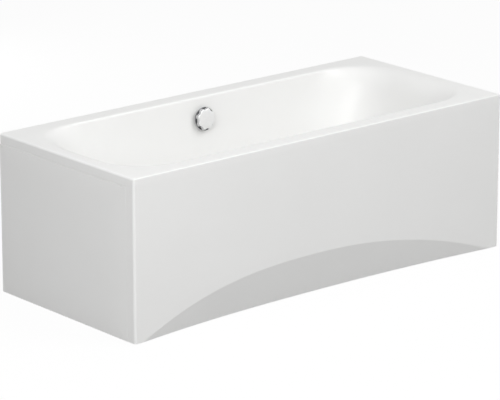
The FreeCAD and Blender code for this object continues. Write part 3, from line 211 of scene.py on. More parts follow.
upper = basin_rows(basin_depths(0.0), 0.0)
under = basin_rows(basin_depths(SHEET), SHEET)
drain_way = np.arctan2(upper[-1, :, 1] - DRAIN[1], upper[-1, :, 0] - DRAIN[0])
drain_edge = DRAIN + about_z(DRAIN_RADIUS, 0.0, drain_way)
floor_share = np.linspace(0, 1, 7)[1:, None, None]
floor_rows = upper[-1] + (drain_edge - upper[-1]) * floor_share
floor_under = under[-1] + (drain_edge - [0, 0, SHEET] - under[-1]) * floor_share
arc = np.linspace(0, math.pi / 2, 9)
edge = END_EDGE + (RIM_EDGE - END_EDGE) * np.sin(facing) ** 2
outer_edge = [rim_row(edge * (1 - math.cos(a)),
                      RIM_TOP - edge * (1 - math.sin(a)),
                      RIM_CORNER - CORNER_SHRINK * edge * (1 - math.cos(a))) for a in arc]
inner_edge = [rim_row(SHEET + INNER_EDGE * (1 - math.cos(a)),
                      RIM_TOP - SHEET - INNER_EDGE * (1 - math.sin(a)),
                      INNER_CORNER - INNER_CORNER / 2 * (1 - math.cos(a))) for a in arc]
lip_foot = [rim_row(SHEET, LIP_BOTTOM + LIP_CHAMFER, INNER_CORNER),
            rim_row(SHEET - LIP_CHAMFER, LIP_BOTTOM, INNER_CORNER + LIP_CHAMFER),
            rim_row(LIP_CHAMFER, LIP_BOTTOM, RIM_CORNER - LIP_CHAMFER),
            rim_row(0.0, LIP_BOTTOM + LIP_CHAMFER, RIM_CORNER)]
shelf_share = np.linspace(0, 1, 6)[1:-1, None, None]
shelf = outer_edge[-1] + (upper[0] - outer_edge[-1]) * shelf_share
shelf_under = inner_edge[-1] + (under[0] - inner_edge[-1]) * shelf_share
loop = np.concatenate([
    floor_under[::-1], under[::-1], shelf_under[::-1], np.stack(inner_edge[::-1]), np.stack(lip_foot),
    np.stack(outer_edge), shelf, upper, floor_rows])


def on_wall(points):
    """Points drawn with Z along the basin wall's normal, placed at the overflow's seat."""
    c, s = math.cos(WALL_TILT), math.sin(WALL_TILT)
    leaning = np.array([[1, 0, 0], [0, s, -c], [0, c, s]])
    return points @ leaning.T + OVERFLOW


def drill(piece, radius, depth):
    """Round hole along the wall's normal at the overflow, cut from a piece for good. The bit is a closed
    cylinder from a depth below the wall's face to the same height above it."""
    cylinder = turned([(0, -depth), (radius, -depth), (radius, depth), (0, depth)], 48)
    bit = skin("drill_bit", on_wall(cylinder), around=True)
    cut = piece.modifiers.new("hole", "BOOLEAN")
    cut.object = bit
    cut.solver = "EXACT"
    shape = bpy.data.meshes.new_from_object(piece.evaluated_get(bpy.context.evaluated_depsgraph_get()))
    piece.modifiers.remove(cut)
    piece.data = shape
    bpy.data.objects.remove(bit)


def material(name):
    """Empty node material and the calls that add nodes to it and join them."""
    made = bpy.data.materials.new(name)
    made.use_nodes = True
    tree = made.node_tree
    shader = tree.nodes["Principled BSDF"]
    place = tree.nodes.new("ShaderNodeTexCoord").outputs["Object"]

    def texture(kind, scale, stretch=(1, 1, 1), **values):
        """Texture node on Object coordinates, stretched along the axes."""
        mapping = tree.nodes.new("ShaderNodeMapping")
        mapping.inputs["Scale"].default_value = stretch
        tree.links.new(place, mapping.inputs["Vector"])
        node = tree.nodes.new(kind)
        node.inputs["Scale"].default_value = scale
        for key, value in values.items():
            node.inputs[key].default_value = value
        tree.links.new(mapping.outputs["Vector"], node.inputs["Vector"])
        return node

    def ramp(source, stops, target):
        """Colours or greys along a texture's value, into a shader socket."""
        node = tree.nodes.new("ShaderNodeValToRGB")
        band = node.color_ramp
        while len(band.elements) < len(stops):
            band.elements.new(0.5)
        for stop, (at, colour) in zip(band.elements, stops):
            stop.position = at
            stop.color = (*colour, 1) if isinstance(colour, tuple) else (colour, colour, colour, 1)
        tree.links.new(source, node.inputs["Fac"])
        tree.links.new(node.outputs["Color"], target)

    def relief(source, depth, strength, before=None):
        """Bump of a depth in metres from a texture's value, on top of the bump before it."""
        node = tree.nodes.new("ShaderNodeBump")
        node.inputs["Distance"].default_value = depth
        node.inputs["Strength"].default_value = strength
        tree.links.new(source, node.inputs["Height"])
        if before is not None:
            tree.links.new(before.outputs["Normal"], node.inputs["Normal"])
        tree.links.new(node.outputs["Normal"], shader.inputs["Normal"])
        return node

    return made, shader, texture, ramp, relief


def acrylic_finish():
    """Gloss sanitary acrylic: white with a trace of warmth, faint waviness from forming, a wiped gloss, and a
    painted highlight that turns it paler along the rounded edges by an edge weight."""
    made, shader, texture, ramp, relief = material("white_acrylic")
    tree = made.node_tree
    # Painted highlight: the base colour turns paler along the rounded edges by the edge weight.
    highlight_weight = tree.nodes.new("ShaderNodeAttribute")
    highlight_weight.attribute_name = "painted_edge_highlight"
    paler = tree.nodes.new("ShaderNodeMix")
    paler.data_type = "RGBA"
    paler.inputs["B"].default_value = (0.985, 0.985, 0.98, 1)
    tree.links.new(highlight_weight.outputs["Fac"], paler.inputs["Factor"])
    tree.links.new(paler.outputs["Result"], shader.inputs["Base Color"])
    cloud = texture("ShaderNodeTexNoise", 3.0, Detail=3.0)
    ramp(cloud.outputs["Fac"], [(0.3, (0.906, 0.906, 0.896)), (0.7, (0.920, 0.920, 0.911))],
         paler.inputs["A"])
    wiped = texture("ShaderNodeTexNoise", 14.0, Detail=6.0)
    ramp(wiped.outputs["Fac"], [(0.3, 0.33), (0.7, 0.42)], shader.inputs["Roughness"])
    wave = texture("ShaderNodeTexNoise", 22.0, Detail=2.0)
    soft = relief(wave.outputs["Fac"], 0.0002, 0.10)
    grain = texture("ShaderNodeTexNoise", 900.0, Detail=2.0)
    relief(grain.outputs["Fac"], 0.00002, 0.10, soft)
    shader.inputs["IOR"].default_value = 1.49
    return made


def paint_edge_highlight(piece):
    """Weight of a painted highlight, from 0 at both sides to 1 at the middle of the arcs: the rim's outer
    edge at both ends and the upright outer corners. A point is on an arc by its distances from the arc's
    axis."""
    spots = np.empty(3 * len(piece.data.vertices))
    piece.data.vertices.foreach_get("co", spots)
    spots = np.abs(spots.reshape(-1, 3))
    reach = (TUB_LENGTH / 2, TUB_WIDTH / 2, RIM_TOP)
    weight = np.zeros(len(spots))
    for axis, radius in ((2, END_EDGE), (1, RIM_CORNER)):
        along = (spots[:, 0] - reach[0] + radius) / radius
        across = (spots[:, axis] - reach[axis] + radius) / radius
        on_arc = (along > 0) & (across > 0) & (np.hypot(along, across) > HIGHLIGHT_ARC)
        weight = np.where(on_arc, np.sin(2 * np.arctan2(across, along)), weight)
    made = piece.data.attributes.new("painted_edge_highlight", "FLOAT", "POINT")
    made.data.foreach_set("value", weight.astype(np.float32))


def glass_fibre_finish():
    """Sprayed resin with chopped glass strands: rough, yellowish white, with strands lying all ways."""
    made, shader, texture, ramp, relief = material("glass_fibre")
    strands = texture("ShaderNodeTexNoise", 60.0, Detail=8.0, Roughness=0.7, Distortion=1.2)
    tones = [(0.35, (0.74, 0.73, 0.66)), (0.5, (0.82, 0.81, 0.75)), (0.62, (0.87, 0.865, 0.82))]
    ramp(strands.outputs["Fac"], tones, shader.inputs["Base Color"])
    ramp(strands.outputs["Fac"], [(0.35, 0.38), (0.65, 0.62)], shader.inputs["Roughness"])
    lumps = texture("ShaderNodeTexNoise", 18.0, Detail=5.0)
    soft = relief(lumps.outputs["Fac"], 0.004, 0.5)
    relief(strands.outputs["Fac"], 0.0015, 0.6, soft)
    return made


# The underside of the sheet, from the lip's inner face to the drain, carries the sprayed glass fibre.
acrylic = acrylic_finish()
tub_sheet = skin("tub_sheet", loop, around=True, over=True)
tub_sheet.data.materials.append(acrylic)
tub_sheet.data.materials.append(glass_fibre_finish())
row_of_face = np.arange(len(tub_sheet.data.polygons)) // len(steps)
sprayed = len(floor_under) + len(under) + len(shelf_under) - 1
tub_sheet.data.polygons.foreach_set("material_index", (row_of_face < sprayed).astype(np.int32))
drill(tub_sheet, OVERFLOW_RADIUS, HOLE_DEPTH)
# Painted highlight along the rim's outer edge at both ends and along the upright corners.
paint_edge_highlight(tub_sheet)
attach(tub_sheet, "tub")
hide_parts("tub_shell")


# Floor board: raw chipboard glued under the basin floor, notched round the waste, so that the legs have
# something to be screwed to.
def chipboard_finish():
    """Pressed wood chips of several tans, each chip a cell with its own shade and a slightly raised edge."""
    made, shader, texture, ramp, relief = material("chipboard")
    chips = texture("ShaderNodeTexVoronoi", 190.0, (1.0, 0.45, 1.0), Randomness=1.0)
    tans = [(0.1, (0.42, 0.30, 0.18)), (0.45, (0.58, 0.44, 0.28)), (0.8, (0.70, 0.57, 0.40))]
    ramp(chips.outputs["Color"], tans, shader.inputs["Base Color"])
    ramp(chips.outputs["Distance"], [(0.0, 0.85), (0.6, 0.65)], shader.inputs["Roughness"])
    relief(chips.outputs["Distance"], 0.0006, 0.5)
    return made


def dress(finish, *nodes):
    """Give CAD nodes a finish in place of their plain one."""
    for node in nodes:
        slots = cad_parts[node].data.materials
        slots.clear()
        slots.append(finish)


dress(chipboard_finish(), "floor_board")


# Rim battens: planed pine strips glued under the rim behind the lip. They stiffen the sheet, and the panel
# clips are screwed to them.
def pine_finish(name, stretch):
    """Planed pine: growth lines drawn out along the strip, paler between them, with the odd darker streak."""
    made, shader, texture, ramp, relief = material(name)
    lines = texture("ShaderNodeTexNoise", 90.0, stretch, Detail=4.0, Distortion=0.6)
    tones = [(0.36, (0.50, 0.32, 0.15)), (0.50, (0.68, 0.48, 0.27)), (0.66, (0.78, 0.60, 0.38))]
    ramp(lines.outputs["Fac"], tones, shader.inputs["Base Color"])
    ramp(lines.outputs["Fac"], [(0.3, 0.72), (0.7, 0.55)], shader.inputs["Roughness"])
    relief(lines.outputs["Fac"], 0.0004, 0.5)
    return made


dress(pine_finish("pine_along", (0.05, 1.0, 1.0)), "rim_batten_front", "rim_batten_back", "panel_blocks")
dress(pine_finish("pine_across", (1.0, 0.05, 1.0)), "rim_batten_left", "rim_batten_right")


# Leg bars: two channels folded from galvanised sheet and screwed up into the board, each with two nuts welded
# on for the feet.
def galvanised_finish():
    """Hot-dipped zinc on sheet steel: crystals a few millimetres across, each with its own grey and gloss."""
    made, shader, texture, ramp, relief = material("galvanised_steel")
    spangle = texture("ShaderNodeTexVoronoi", 130.0, Randomness=1.0)
    greys = [(0.15, (0.42, 0.44, 0.46)), (0.5, (0.56, 0.58, 0.60)), (0.85, (0.68, 0.70, 0.72))]
    ramp(spangle.outputs["Color"], greys, shader.inputs["Base Color"])
    ramp(spangle.outputs["Color"], [(0.2, 0.34), (0.8, 0.52)], shader.inputs["Roughness"])
    rub = texture("ShaderNodeTexNoise", 300.0, Detail=4.0)
    relief(rub.outputs["Fac"], 0.0001, 0.3)
    shader.inputs["Metallic"].default_value = 0.9
    return made


def zinc_finish():
    """Bright zinc plate on turned steel: pale grey metal with fine handling marks."""
    made, shader, texture, ramp, relief = material("zinc_steel")
    cloud = texture("ShaderNodeTexNoise", 160.0, Detail=5.0)
    greys = [(0.3, (0.60, 0.61, 0.63)), (0.7, (0.74, 0.75, 0.76))]
    ramp(cloud.outputs["Fac"], greys, shader.inputs["Base Color"])
    ramp(cloud.outputs["Fac"], [(0.3, 0.26), (0.7, 0.42)], shader.inputs["Roughness"])
    marks = texture("ShaderNodeTexNoise", 900.0, Detail=3.0)
    relief(marks.outputs["Fac"], 0.00005, 0.3)
    shader.inputs["Metallic"].default_value = 1.0
    return made


galvanised = galvanised_finish()
zinc = zinc_finish()
dress(galvanised, "leg_bar_left", "leg_bar_right")
dress(zinc, "leg_screws", "foot_nuts")


# Feet: a black moulded pad that turns on the end of a zinc-plated M10 screw. The screw runs in the nut on the
# leg bar and has a hexagon for a spanner near its foot.
FEET = {"front_left": (-0.39043, -0.245), "back_left": (-0.39043, 0.245),
        "front_right": (0.39043, -0.245), "back_right": (0.39043, 0.245)}
ROD_RADIUS = 0.005
ROD_LOW = 0.0083
ROD_HIGH = 0.165
ROD_TIP = 0.001
PITCH = 0.0015
THREAD_DEPTH = 0.0008
THREAD_FLAT = 0.1
THREAD_START = 0.030
THREAD_FADE = 0.003
HEXAGON_FLATS = 0.017
HEXAGON_LOW = 0.019
HEXAGON_HIGH = 0.027
HEXAGON_FACE = 1.02
CONE_SLOPE = 0.58
PAD_COLUMNS = 96
PAD_CONE = slice(8, 10)
RIB_COUNT = 8
RIB_STEEPNESS = 6
RIB_LEVEL = 4.6
RIB_RISE = (0.0006, 0.0042)
PAD_PROFILE = [
    (0, 0.0004), (0.0235, 0.0004), (0.0238, 0), (0.0262, 0), (0.0268, 0.0004), (0.027, 0.001),
    (0.027, 0.0044), (0.0266, 0.0050), (0.0256, 0.0054), (0.0165, 0.0077), (0.0153, 0.0083), (0.015, 0.0092),
    (0.015, 0.0140), (0.0147, 0.0147), (0.014, 0.015), (0.0062, 0.015), (0.0054, 0.0146), (0.00505, 0.0140),
    (0.00505, 0.008), (0, 0.008)]


def moulded_finish(name, colour, gloss):
    """Injection-moulded plastic: an even colour with slight flow marks and a fine eroded grain."""
    made, shader, texture, ramp, relief = material(name)
    flow = texture("ShaderNodeTexNoise", 25.0, Detail=4.0)
    dark = tuple(0.93 * c for c in colour)
    ramp(flow.outputs["Fac"], [(0.3, dark), (0.7, colour)], shader.inputs["Base Color"])
    ramp(flow.outputs["Fac"], [(0.3, gloss), (0.7, gloss + 0.12)], shader.inputs["Roughness"])
    grain = texture("ShaderNodeTexNoise", 1400.0, Detail=2.0)
    relief(grain.outputs["Fac"], 0.00008, 0.35)
    return made


def rod_grid():
    """Threaded rod: its radius falls from 5 to 4.2 mm and back once per pitch of height less turn, with a
    flat at the crest and the root, so the crest climbs one pitch each turn. The thread fades in above the
    hexagon, and the tip is drawn in."""
    ring = even_ring(24)
    height = np.linspace(ROD_LOW, ROD_HIGH, 629)[:, None]
    phase = (height / PITCH - ring / (2 * math.pi)) % 1
    flank = (np.abs(2 * phase - 1) - THREAD_FLAT) / (1 - 2 * THREAD_FLAT)
    threaded = np.clip((height - THREAD_START) / THREAD_FADE, 0, 1)
    tip = np.clip((height - ROD_HIGH + ROD_TIP) / ROD_TIP, 0, 1)
    radius = ROD_RADIUS - THREAD_DEPTH * (np.clip(flank, 0, 1) * threaded + tip)
    body = about_z(radius, height, ring)
    ends = body[[0, -1]] * [0, 0, 1]
    return np.concatenate([ends[:1], body, ends[1:]])


def hexagon_grid():
    """Six-sided bar round the Z axis with its corners chamfered by a 30 degree cone."""
    ring = even_ring(72)[None]
    side = HEXAGON_FLATS / 2 / np.cos((ring + math.pi / 6) % (math.pi / 3) - math.pi / 6)
    edge = np.minimum(side, HEXAGON_FLATS / 2 * HEXAGON_FACE)
    low = HEXAGON_LOW + 0 * ring
    high = HEXAGON_HIGH + 0 * ring
    drop = (side - edge) * CONE_SLOPE
    radius = np.concatenate([0 * ring, edge, side, side, edge, 0 * ring])
    height = np.concatenate([low, low, low + drop, high - drop, high, high])
    return about_z(radius, height, ring)


def joined(name, pieces):
    """One piece out of several skins."""
    whole = bmesh.new()
    for piece in pieces:
        whole.from_mesh(piece.data)
        bpy.data.objects.remove(piece)
    mesh = bpy.data.meshes.new(name)
    whole.to_mesh(mesh)
    whole.free()
    return placed(name, mesh, 30)


# Eight ribs run up the pad's cone: the two rows at its ends are raised where a cosine is near its crest.
black_plastic = moulded_finish("black_plastic", (0.030, 0.030, 0.032), 0.42)
pad_grid = turned(PAD_PROFILE, PAD_COLUMNS)
rib = np.clip(RIB_STEEPNESS * np.cos(RIB_COUNT * even_ring(PAD_COLUMNS)) - RIB_LEVEL, 0, 1)
pad_grid[PAD_CONE, :, 2] += np.array(RIB_RISE)[:, None] * rib
for corner, (foot_x, foot_y) in FEET.items():
    place = np.array([foot_x, foot_y, 0])
    stud = joined("screw_" + corner, [skin("rod", rod_grid() + place, around=True),
                                      skin("hexagon", hexagon_grid() + place, around=True)])
    stud.data.materials.append(zinc)
    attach(stud, "stud_" + corner)
    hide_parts("foot_stud_" + corner)
    pad = skin("pad_" + corner, pad_grid + place, around=True, crease=40)
    pad.data.materials.append(black_plastic)
    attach(pad, "foot_" + corner)
    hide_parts("foot_pad_" + corner)


# Waste: a chromed flange on the basin floor is screwed through two rubber rings into a white plastic bowl
# below. A steel pin in the flange's cross pushes the plug up when the lever in the bowl tips.
def chrome_finish():
    """Mirror chrome on brass with a few dried water marks that dull it."""
    made, shader, texture, ramp, relief = material("chrome_plate")
    marks = texture("ShaderNodeTexNoise", 60.0, Detail=6.0)
    ramp(marks.outputs["Fac"], [(0.45, 0.04), (0.75, 0.13)], shader.inputs["Roughness"])
    tint = texture("ShaderNodeTexNoise", 8.0, Detail=2.0)
    greys = [(0.3, (0.80, 0.81, 0.82)), (0.7, (0.86, 0.87, 0.88))]
    ramp(tint.outputs["Fac"], greys, shader.inputs["Base Color"])
    wave = texture("ShaderNodeTexNoise", 90.0, Detail=1.0)
    relief(wave.outputs["Fac"], 0.00005, 0.1)
    shader.inputs["Metallic"].default_value = 1.0
    return made


def rubber_finish():
    """Black moulded rubber, matt, with a dusty bloom."""
    made, shader, texture, ramp, relief = material("black_rubber")
    bloom = texture("ShaderNodeTexNoise", 120.0, Detail=5.0)
    blacks = [(0.35, (0.018, 0.018, 0.019)), (0.75, (0.040, 0.040, 0.041))]
    ramp(bloom.outputs["Fac"], blacks, shader.inputs["Base Color"])
    ramp(bloom.outputs["Fac"], [(0.3, 0.62), (0.7, 0.80)], shader.inputs["Roughness"])
    relief(bloom.outputs["Fac"], 0.0001, 0.3)
    return made


chrome = chrome_finish()
white_plastic = moulded_finish("white_plastic", (0.80, 0.80, 0.78), 0.34)
rubber = rubber_finish()
dress(chrome, "waste_flange", "plug")
dress(rubber, "waste_upper_gasket", "waste_lower_gasket", "plug_seal")
dress(white_plastic, "waste_body", "lift_lever")
dress(zinc, "lift_pin")


# Trap: a bent white plastic pipe under the bowl that holds water against smells. Its joints are made with
# ribbed grey nuts.
grey_plastic = moulded_finish("grey_plastic", (0.30, 0.31, 0.33), 0.40)
dress(white_plastic, "trap_bend", "outlet_pipe")
dress(grey_plastic, "trap_nut", "outlet_nut")


# Overflow: a chrome ring in the basin's back wall, a plastic cup behind it on a rubber ring, and a pipe down
# to the bowl. The knob turns a spindle whose crank pulls the cable clipped along the pipe.
dress(rubber, "overflow_gasket")
dress(white_plastic, "overflow_body", "overflow_pipe", "overflow_crank")
dress(grey_plastic, "overflow_pipe_nuts", "cable_clips")
dress(zinc, "overflow_spindle")
dress(black_plastic, "bowden_cable")


# Knob: cast and chromed, hollow behind, with eight finger scallops round its face. Its foot flares out to a
# thin ring, whose top shows as a ledge in each scallop that is painted dark as painted shade.
KNOB_RADIUS = 0.043
KNOB_LOW = 0.008
KNOB_HEIGHT = 0.018
KNOB_ROOF = 0.0145
KNOB_BORE = 0.011
KNOB_CUP = 0.0285
KNOB_FOOT = 0.032
KNOB_RING = 0.0072
KNOB_COLUMNS = 256
SCALLOP_RADIUS = 0.018
SCALLOP_DEPTH = 0.005
SCALLOP_PHASE = math.radians(2)
LOBE_BLEND = 0.0009
FINISH_ROWS = [13, 22, 23, 28]


def knob_grid():
    """Turned cup whose side, above the ring, is the lesser of the knob's circle and the near side of eight
    scallop circles, joined by a soft minimum so that the lobes are round, and draws in by 3.4 mm to the
    face's edge. A plain row is a radius and a height, a row up the side an inset and a rise, and a row of
    the face a share of the lobe and a drop."""
    ring = even_ring(KNOB_COLUMNS)
    away = (ring - SCALLOP_PHASE + math.pi / 8) % (math.pi / 4) - math.pi / 8
    out = KNOB_RADIUS + SCALLOP_RADIUS - SCALLOP_DEPTH
    inside = np.maximum(SCALLOP_RADIUS ** 2 - (out * np.sin(away)) ** 2, 0)
    scallop = np.where(inside > 0, out * np.cos(away) - np.sqrt(inside), out)
    circle = math.exp(-(KNOB_RADIUS - LOBE_BLEND) / LOBE_BLEND)
    lobe = -LOBE_BLEND * np.log(np.exp(-scallop / LOBE_BLEND) + circle)
    plain = [
        (0, KNOB_BORE), (0.004, KNOB_BORE), (0.004, 0.0003), (0.0043, 0), (0.0076, 0), (0.008, 0.0004),
        (0.008, KNOB_ROOF - 0.0005), (0.0085, KNOB_ROOF), (KNOB_CUP - 0.001, KNOB_ROOF),
        (KNOB_CUP - 0.0003, KNOB_ROOF - 0.0003), (KNOB_CUP, KNOB_ROOF - 0.001), (KNOB_CUP, 0.0006),
        (KNOB_CUP + 0.0002, 0.0002), (KNOB_CUP + 0.0007, 0), (KNOB_FOOT - 0.0008, 0),
        (KNOB_FOOT - 0.0002, 0.0002), (KNOB_FOOT + 0.0002, 0.0007),
        (KNOB_RADIUS - 0.0010, KNOB_RING - 0.0036), (KNOB_RADIUS - 0.0002, KNOB_RING - 0.0030),
        (KNOB_RADIUS, KNOB_RING - 0.0025), (KNOB_RADIUS, KNOB_RING - 0.0011),
        (KNOB_RADIUS - 0.0001, KNOB_RING - 0.0005), (KNOB_RADIUS - 0.0005, KNOB_RING - 0.0001)]
    side = [
        (0.0, 0.0), (0.0001, 0.0006), (0.0016, 0.0050), (0.0032, 0.0090), (0.0034, 0.0096), (0.0038, 0.0101),
        (0.0043, 0.0104), (0.0050, 0.01055)]
    face = [(0.85, 0.00018), (0.6, 0.00008), (0.3, 0.00002), (0.0, 0.0)]
    radius = [r + 0 * ring for r, h in plain] + [lobe - inset for inset, rise in side]
    radius += [lobe * share for share, drop in face]
    height = [h for r, h in plain] + [KNOB_RING + rise for inset, rise in side]
    height += [KNOB_HEIGHT - drop for share, drop in face]
    return about_z(np.stack(radius), KNOB_LOW + np.array(height)[:, None], ring)


def painted_light_chrome(name, colour, gloss):
    """Chrome of a given brightness, with faint uneven gloss: the knob's darker copies are painted shade and
    dark reflection, its paler face a painted highlight.
    """
    made, shader, texture, ramp, relief = material(name)
    tone = texture("ShaderNodeTexNoise", 220.0, Detail=4.0)
    dark = tuple(0.96 * c for c in colour)
    ramp(tone.outputs["Fac"], [(0.3, dark), (0.7, colour)], shader.inputs["Base Color"])
    ramp(tone.outputs["Fac"], [(0.3, gloss), (0.7, gloss + 0.08)], shader.inputs["Roughness"])
    brushed = texture("ShaderNodeTexNoise", 700.0, Detail=3.0)
    relief(brushed.outputs["Fac"], 0.00003, 0.25)
    shader.inputs["Metallic"].default_value = 1.0
    return made


# The cup inside is plain chrome. At the rows of FINISH_ROWS the ring, its ledge, the side and the face begin.
# Painted light on the knob: the ring, the rosette, the ledge and the side are darker chrome as painted shade
# and dark reflection, and the face is paler chrome as a painted highlight.
ring_chrome = painted_light_chrome("ring_chrome", (0.26, 0.26, 0.27), 0.30)
dress(ring_chrome, "overflow_rosette")
knob = skin("scalloped_knob", on_wall(knob_grid()), around=True, crease=50)
knob.data.materials.append(chrome)
knob.data.materials.append(ring_chrome)
knob.data.materials.append(painted_light_chrome("knob_ledge", (0.07, 0.07, 0.075), 0.30))
knob.data.materials.append(painted_light_chrome("knob_side", (0.60, 0.60, 0.61), 0.18))
knob.data.materials.append(painted_light_chrome("knob_face", (0.95, 0.95, 0.95), 0.48))
row_of_face = np.arange(len(knob.data.polygons)) // KNOB_COLUMNS
knob.data.polygons.foreach_set("material_index", np.digitize(row_of_face, FINISH_ROWS).astype(np.int32))
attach(knob, "knob")
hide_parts("overflow_knob")


# Front panel: a sheet of acrylic formed with a flange along its top and a return at each end. Its foot is
# drawn back under a long low arch, so that toes have room.
FRONT_FACE = -0.375
FRONT_BACK = -0.333
PANEL_TOP = 0.5449
PANEL_FOOT = 0.003
PANEL_SHEET = 0.0045
ARCH_HEIGHT = 0.158
ARCH_CREST = -0.045
ARCH_LEFT = (0.775, 2.5)
ARCH_RIGHT = (0.852, 2.1)
ARCH_REACH = 0.837
ARCH_LEAST = 0.012
ARCH_BAND = 0.004
RECESS_SLOPE = 0.285
RECESS_SOFT = 0.003
INNER_RECESS = 1.04


def arch_height(x):
    """Height of the toe recess: 158 mm at 45 mm left of the middle, falling as a power of the distance, 2.5
    to the left over 775 mm and 2.1 to the right over 852 mm. Past the arch's reach it is below the floor."""
    run, power = (np.where(x < ARCH_CREST, a, b) for a, b in zip(ARCH_LEFT, ARCH_RIGHT))
    height = ARCH_HEIGHT * (1 - (np.abs(x - ARCH_CREST) / run) ** power)
    return np.where(np.abs(x) < ARCH_REACH, height, -1.0)


def panel_plan(inset):
    """Plan of the sheet at an inset from its face: left return, rounded corner, front, rounded corner and
    right return."""
    half = TUB_LENGTH / 2
    radius = RIM_CORNER - inset
    bend = np.linspace(0, math.pi / 2, 10)
    ends = np.linspace(FRONT_BACK, FRONT_FACE + RIM_CORNER, 5)[:-1]
    front = np.linspace(-half + RIM_CORNER, half - RIM_CORNER, 161)[1:-1]
    left_x = np.concatenate([0 * ends - half + inset, -half + RIM_CORNER - radius * np.cos(bend)])
    left_y = np.concatenate([ends, FRONT_FACE + RIM_CORNER - radius * np.sin(bend)])
    x = np.concatenate([left_x, front, -left_x[::-1]])
    y = np.concatenate([left_y, 0 * front + FRONT_FACE + inset, left_y[::-1]])
    return x, y


def recess(x, z):
    """How far the face is drawn back: 0.285 of the height below the arch, with a 6 mm soft break along it."""
    below = arch_height(x) - z
    softened = np.clip(below + RECESS_SOFT, 0, None) ** 2 / (4 * RECESS_SOFT)
    return RECESS_SLOPE * np.where(below > RECESS_SOFT, below, softened)


def panel_rows(inset, top):
    """Rows up the sheet at an inset from its face, gathered in a band along the arch so that its break is a
    clean line. The inner face is drawn back a little further."""
    x, y = panel_plan(inset)
    front_x = panel_plan(0.0)[0]
    crest = np.maximum(arch_height(front_x), PANEL_FOOT + ARCH_LEAST)
    band_low = crest - ARCH_BAND
    band_high = crest + ARCH_BAND
    lower = band_low + (PANEL_FOOT - band_low) * np.linspace(1, 0, 9)[:, None]
    across = crest + np.linspace(-ARCH_BAND, ARCH_BAND, 9)[1:, None]
    higher = band_high + (top - band_high) * np.linspace(0, 1, 15)[1:, None]
    z = np.concatenate([lower, across, higher])
    back = recess(front_x, z) * (INNER_RECESS if inset > 0 else 1)
    return np.stack([x + 0 * z, y + back, z], axis=-1)


def flange_row(inset, columns):
    """Back edge of the top flange, at an inset from its upper face and its ends."""
    half = TUB_LENGTH / 2
    x = np.clip(np.linspace(-half, half, columns), -half + inset, half - inset)
    return np.stack([x, FRONT_BACK + 0 * x, PANEL_TOP - inset + 0 * x], axis=-1)[None]


# Each end of the sheet is closed by a column halfway between the outer and the inner face.
outer = panel_rows(0.0, PANEL_TOP)
inner = panel_rows(PANEL_SHEET, PANEL_TOP - PANEL_SHEET)
flange = [flange_row(inset, outer.shape[1]) for inset in (0.0, PANEL_SHEET)]
rows = np.concatenate([outer, *flange, inner[::-1]])
halfway = (rows + rows[::-1]) / 2
rows = np.concatenate([halfway[:, :1], rows, halfway[:, -1:]], axis=1)
front_sheet = skin("front_sheet", rows, over=True, crease=35)
front_sheet.data.materials.append(acrylic)
# Painted highlight along the panel's upright corners.
paint_edge_highlight(front_sheet)
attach(front_sheet, "tub")
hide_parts("front_panel")


# End panel: a shallow tray formed from the same acrylic, with small soft edges. It closes the left end below
# the lip and is held by the blocks glued behind it.
END_LOW = np.array([-0.3322, 0.002])
END_HIGH = np.array([0.374, 0.5447])
TRAY_BACK = -0.8224
TRAY_EDGE = 0.0012
TRAY_TOP_EDGE = 0.004
TRAY_INNER_EDGE = 0.001
TRAY_LEAST = 0.0002


def tray_row(x, inset, radius):
    """Rounded oblong in the end's plane at an inset from the tray's edge."""
    half = (END_HIGH - END_LOW)[:, None] / 2 - inset
    plan = oblong(half[0], half[1], radius) + (END_LOW + END_HIGH) / 2
    return np.concatenate([(x + 0 * q)[:, None], plan], axis=1)


def tray_rows(depth, edge):
    """One face of the tray: pole, flat face, an arc of the edge's radius and the side, at a depth in the
    sheet."""
    face = -TUB_LENGTH / 2 + depth
    bend = np.linspace(math.pi / 2, 0, 9)
    middle = (END_LOW + END_HIGH) / 2
    pole = np.tile([[face, *middle]], (len(q), 1))
    flat = tray_row(face, depth + edge, TRAY_LEAST)
    arcs = [tray_row(face + edge - edge * math.sin(a), depth + edge - edge * math.cos(a),
                     np.maximum(edge * math.cos(a), TRAY_LEAST)) for a in bend]
    inside = [pole + (flat - pole) * part for part in (0.0, 0.4, 0.75)]
    return inside + arcs + [tray_row(TRAY_BACK, depth, edge)]


top_share = np.maximum(np.sin(facing), 0) ** 2
outer_face = tray_rows(0.0, TRAY_EDGE + (TRAY_TOP_EDGE - TRAY_EDGE) * top_share)
inner_face = tray_rows(PANEL_SHEET, TRAY_INNER_EDGE + 0 * q)
end_sheet = skin("end_sheet", np.stack(outer_face + inner_face[::-1]), around=True, crease=35)
end_sheet.data.materials.append(acrylic)
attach(end_sheet, "tub")
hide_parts("end_panel")


# Panel fixings: pine blocks glued behind the panels, galvanised angle strips bolted to the leg bars, and
# spring clips under the rim. The blocks have the battens' pine.
dress(galvanised, "front_panel_brackets", "end_panel_stays", "panel_clips")
dress(zinc, "bracket_bolts", "block_screws", "clip_screws")


# Studio: a pale floor that shows white with a faint shadow, a white surround and five soft lamps, seen from
# the photograph's viewpoint.
FLOOR_REACH = 14.0
FLOOR_GREY = 0.34
FLOOR_GLOW = 0.94
SURROUND_LIGHT = 0.36
LAMP_SIZE = 3.0
LAMP_AIM = np.array([0, 0, 0.3])
AZIMUTH = math.radians(-40.357)
ELEVATION = math.radians(16.700)
VIEW_RIGHT = -0.0203
VIEW_UP = 0.2473
VIEW_BACK = 11.5114
LENS = 230.16


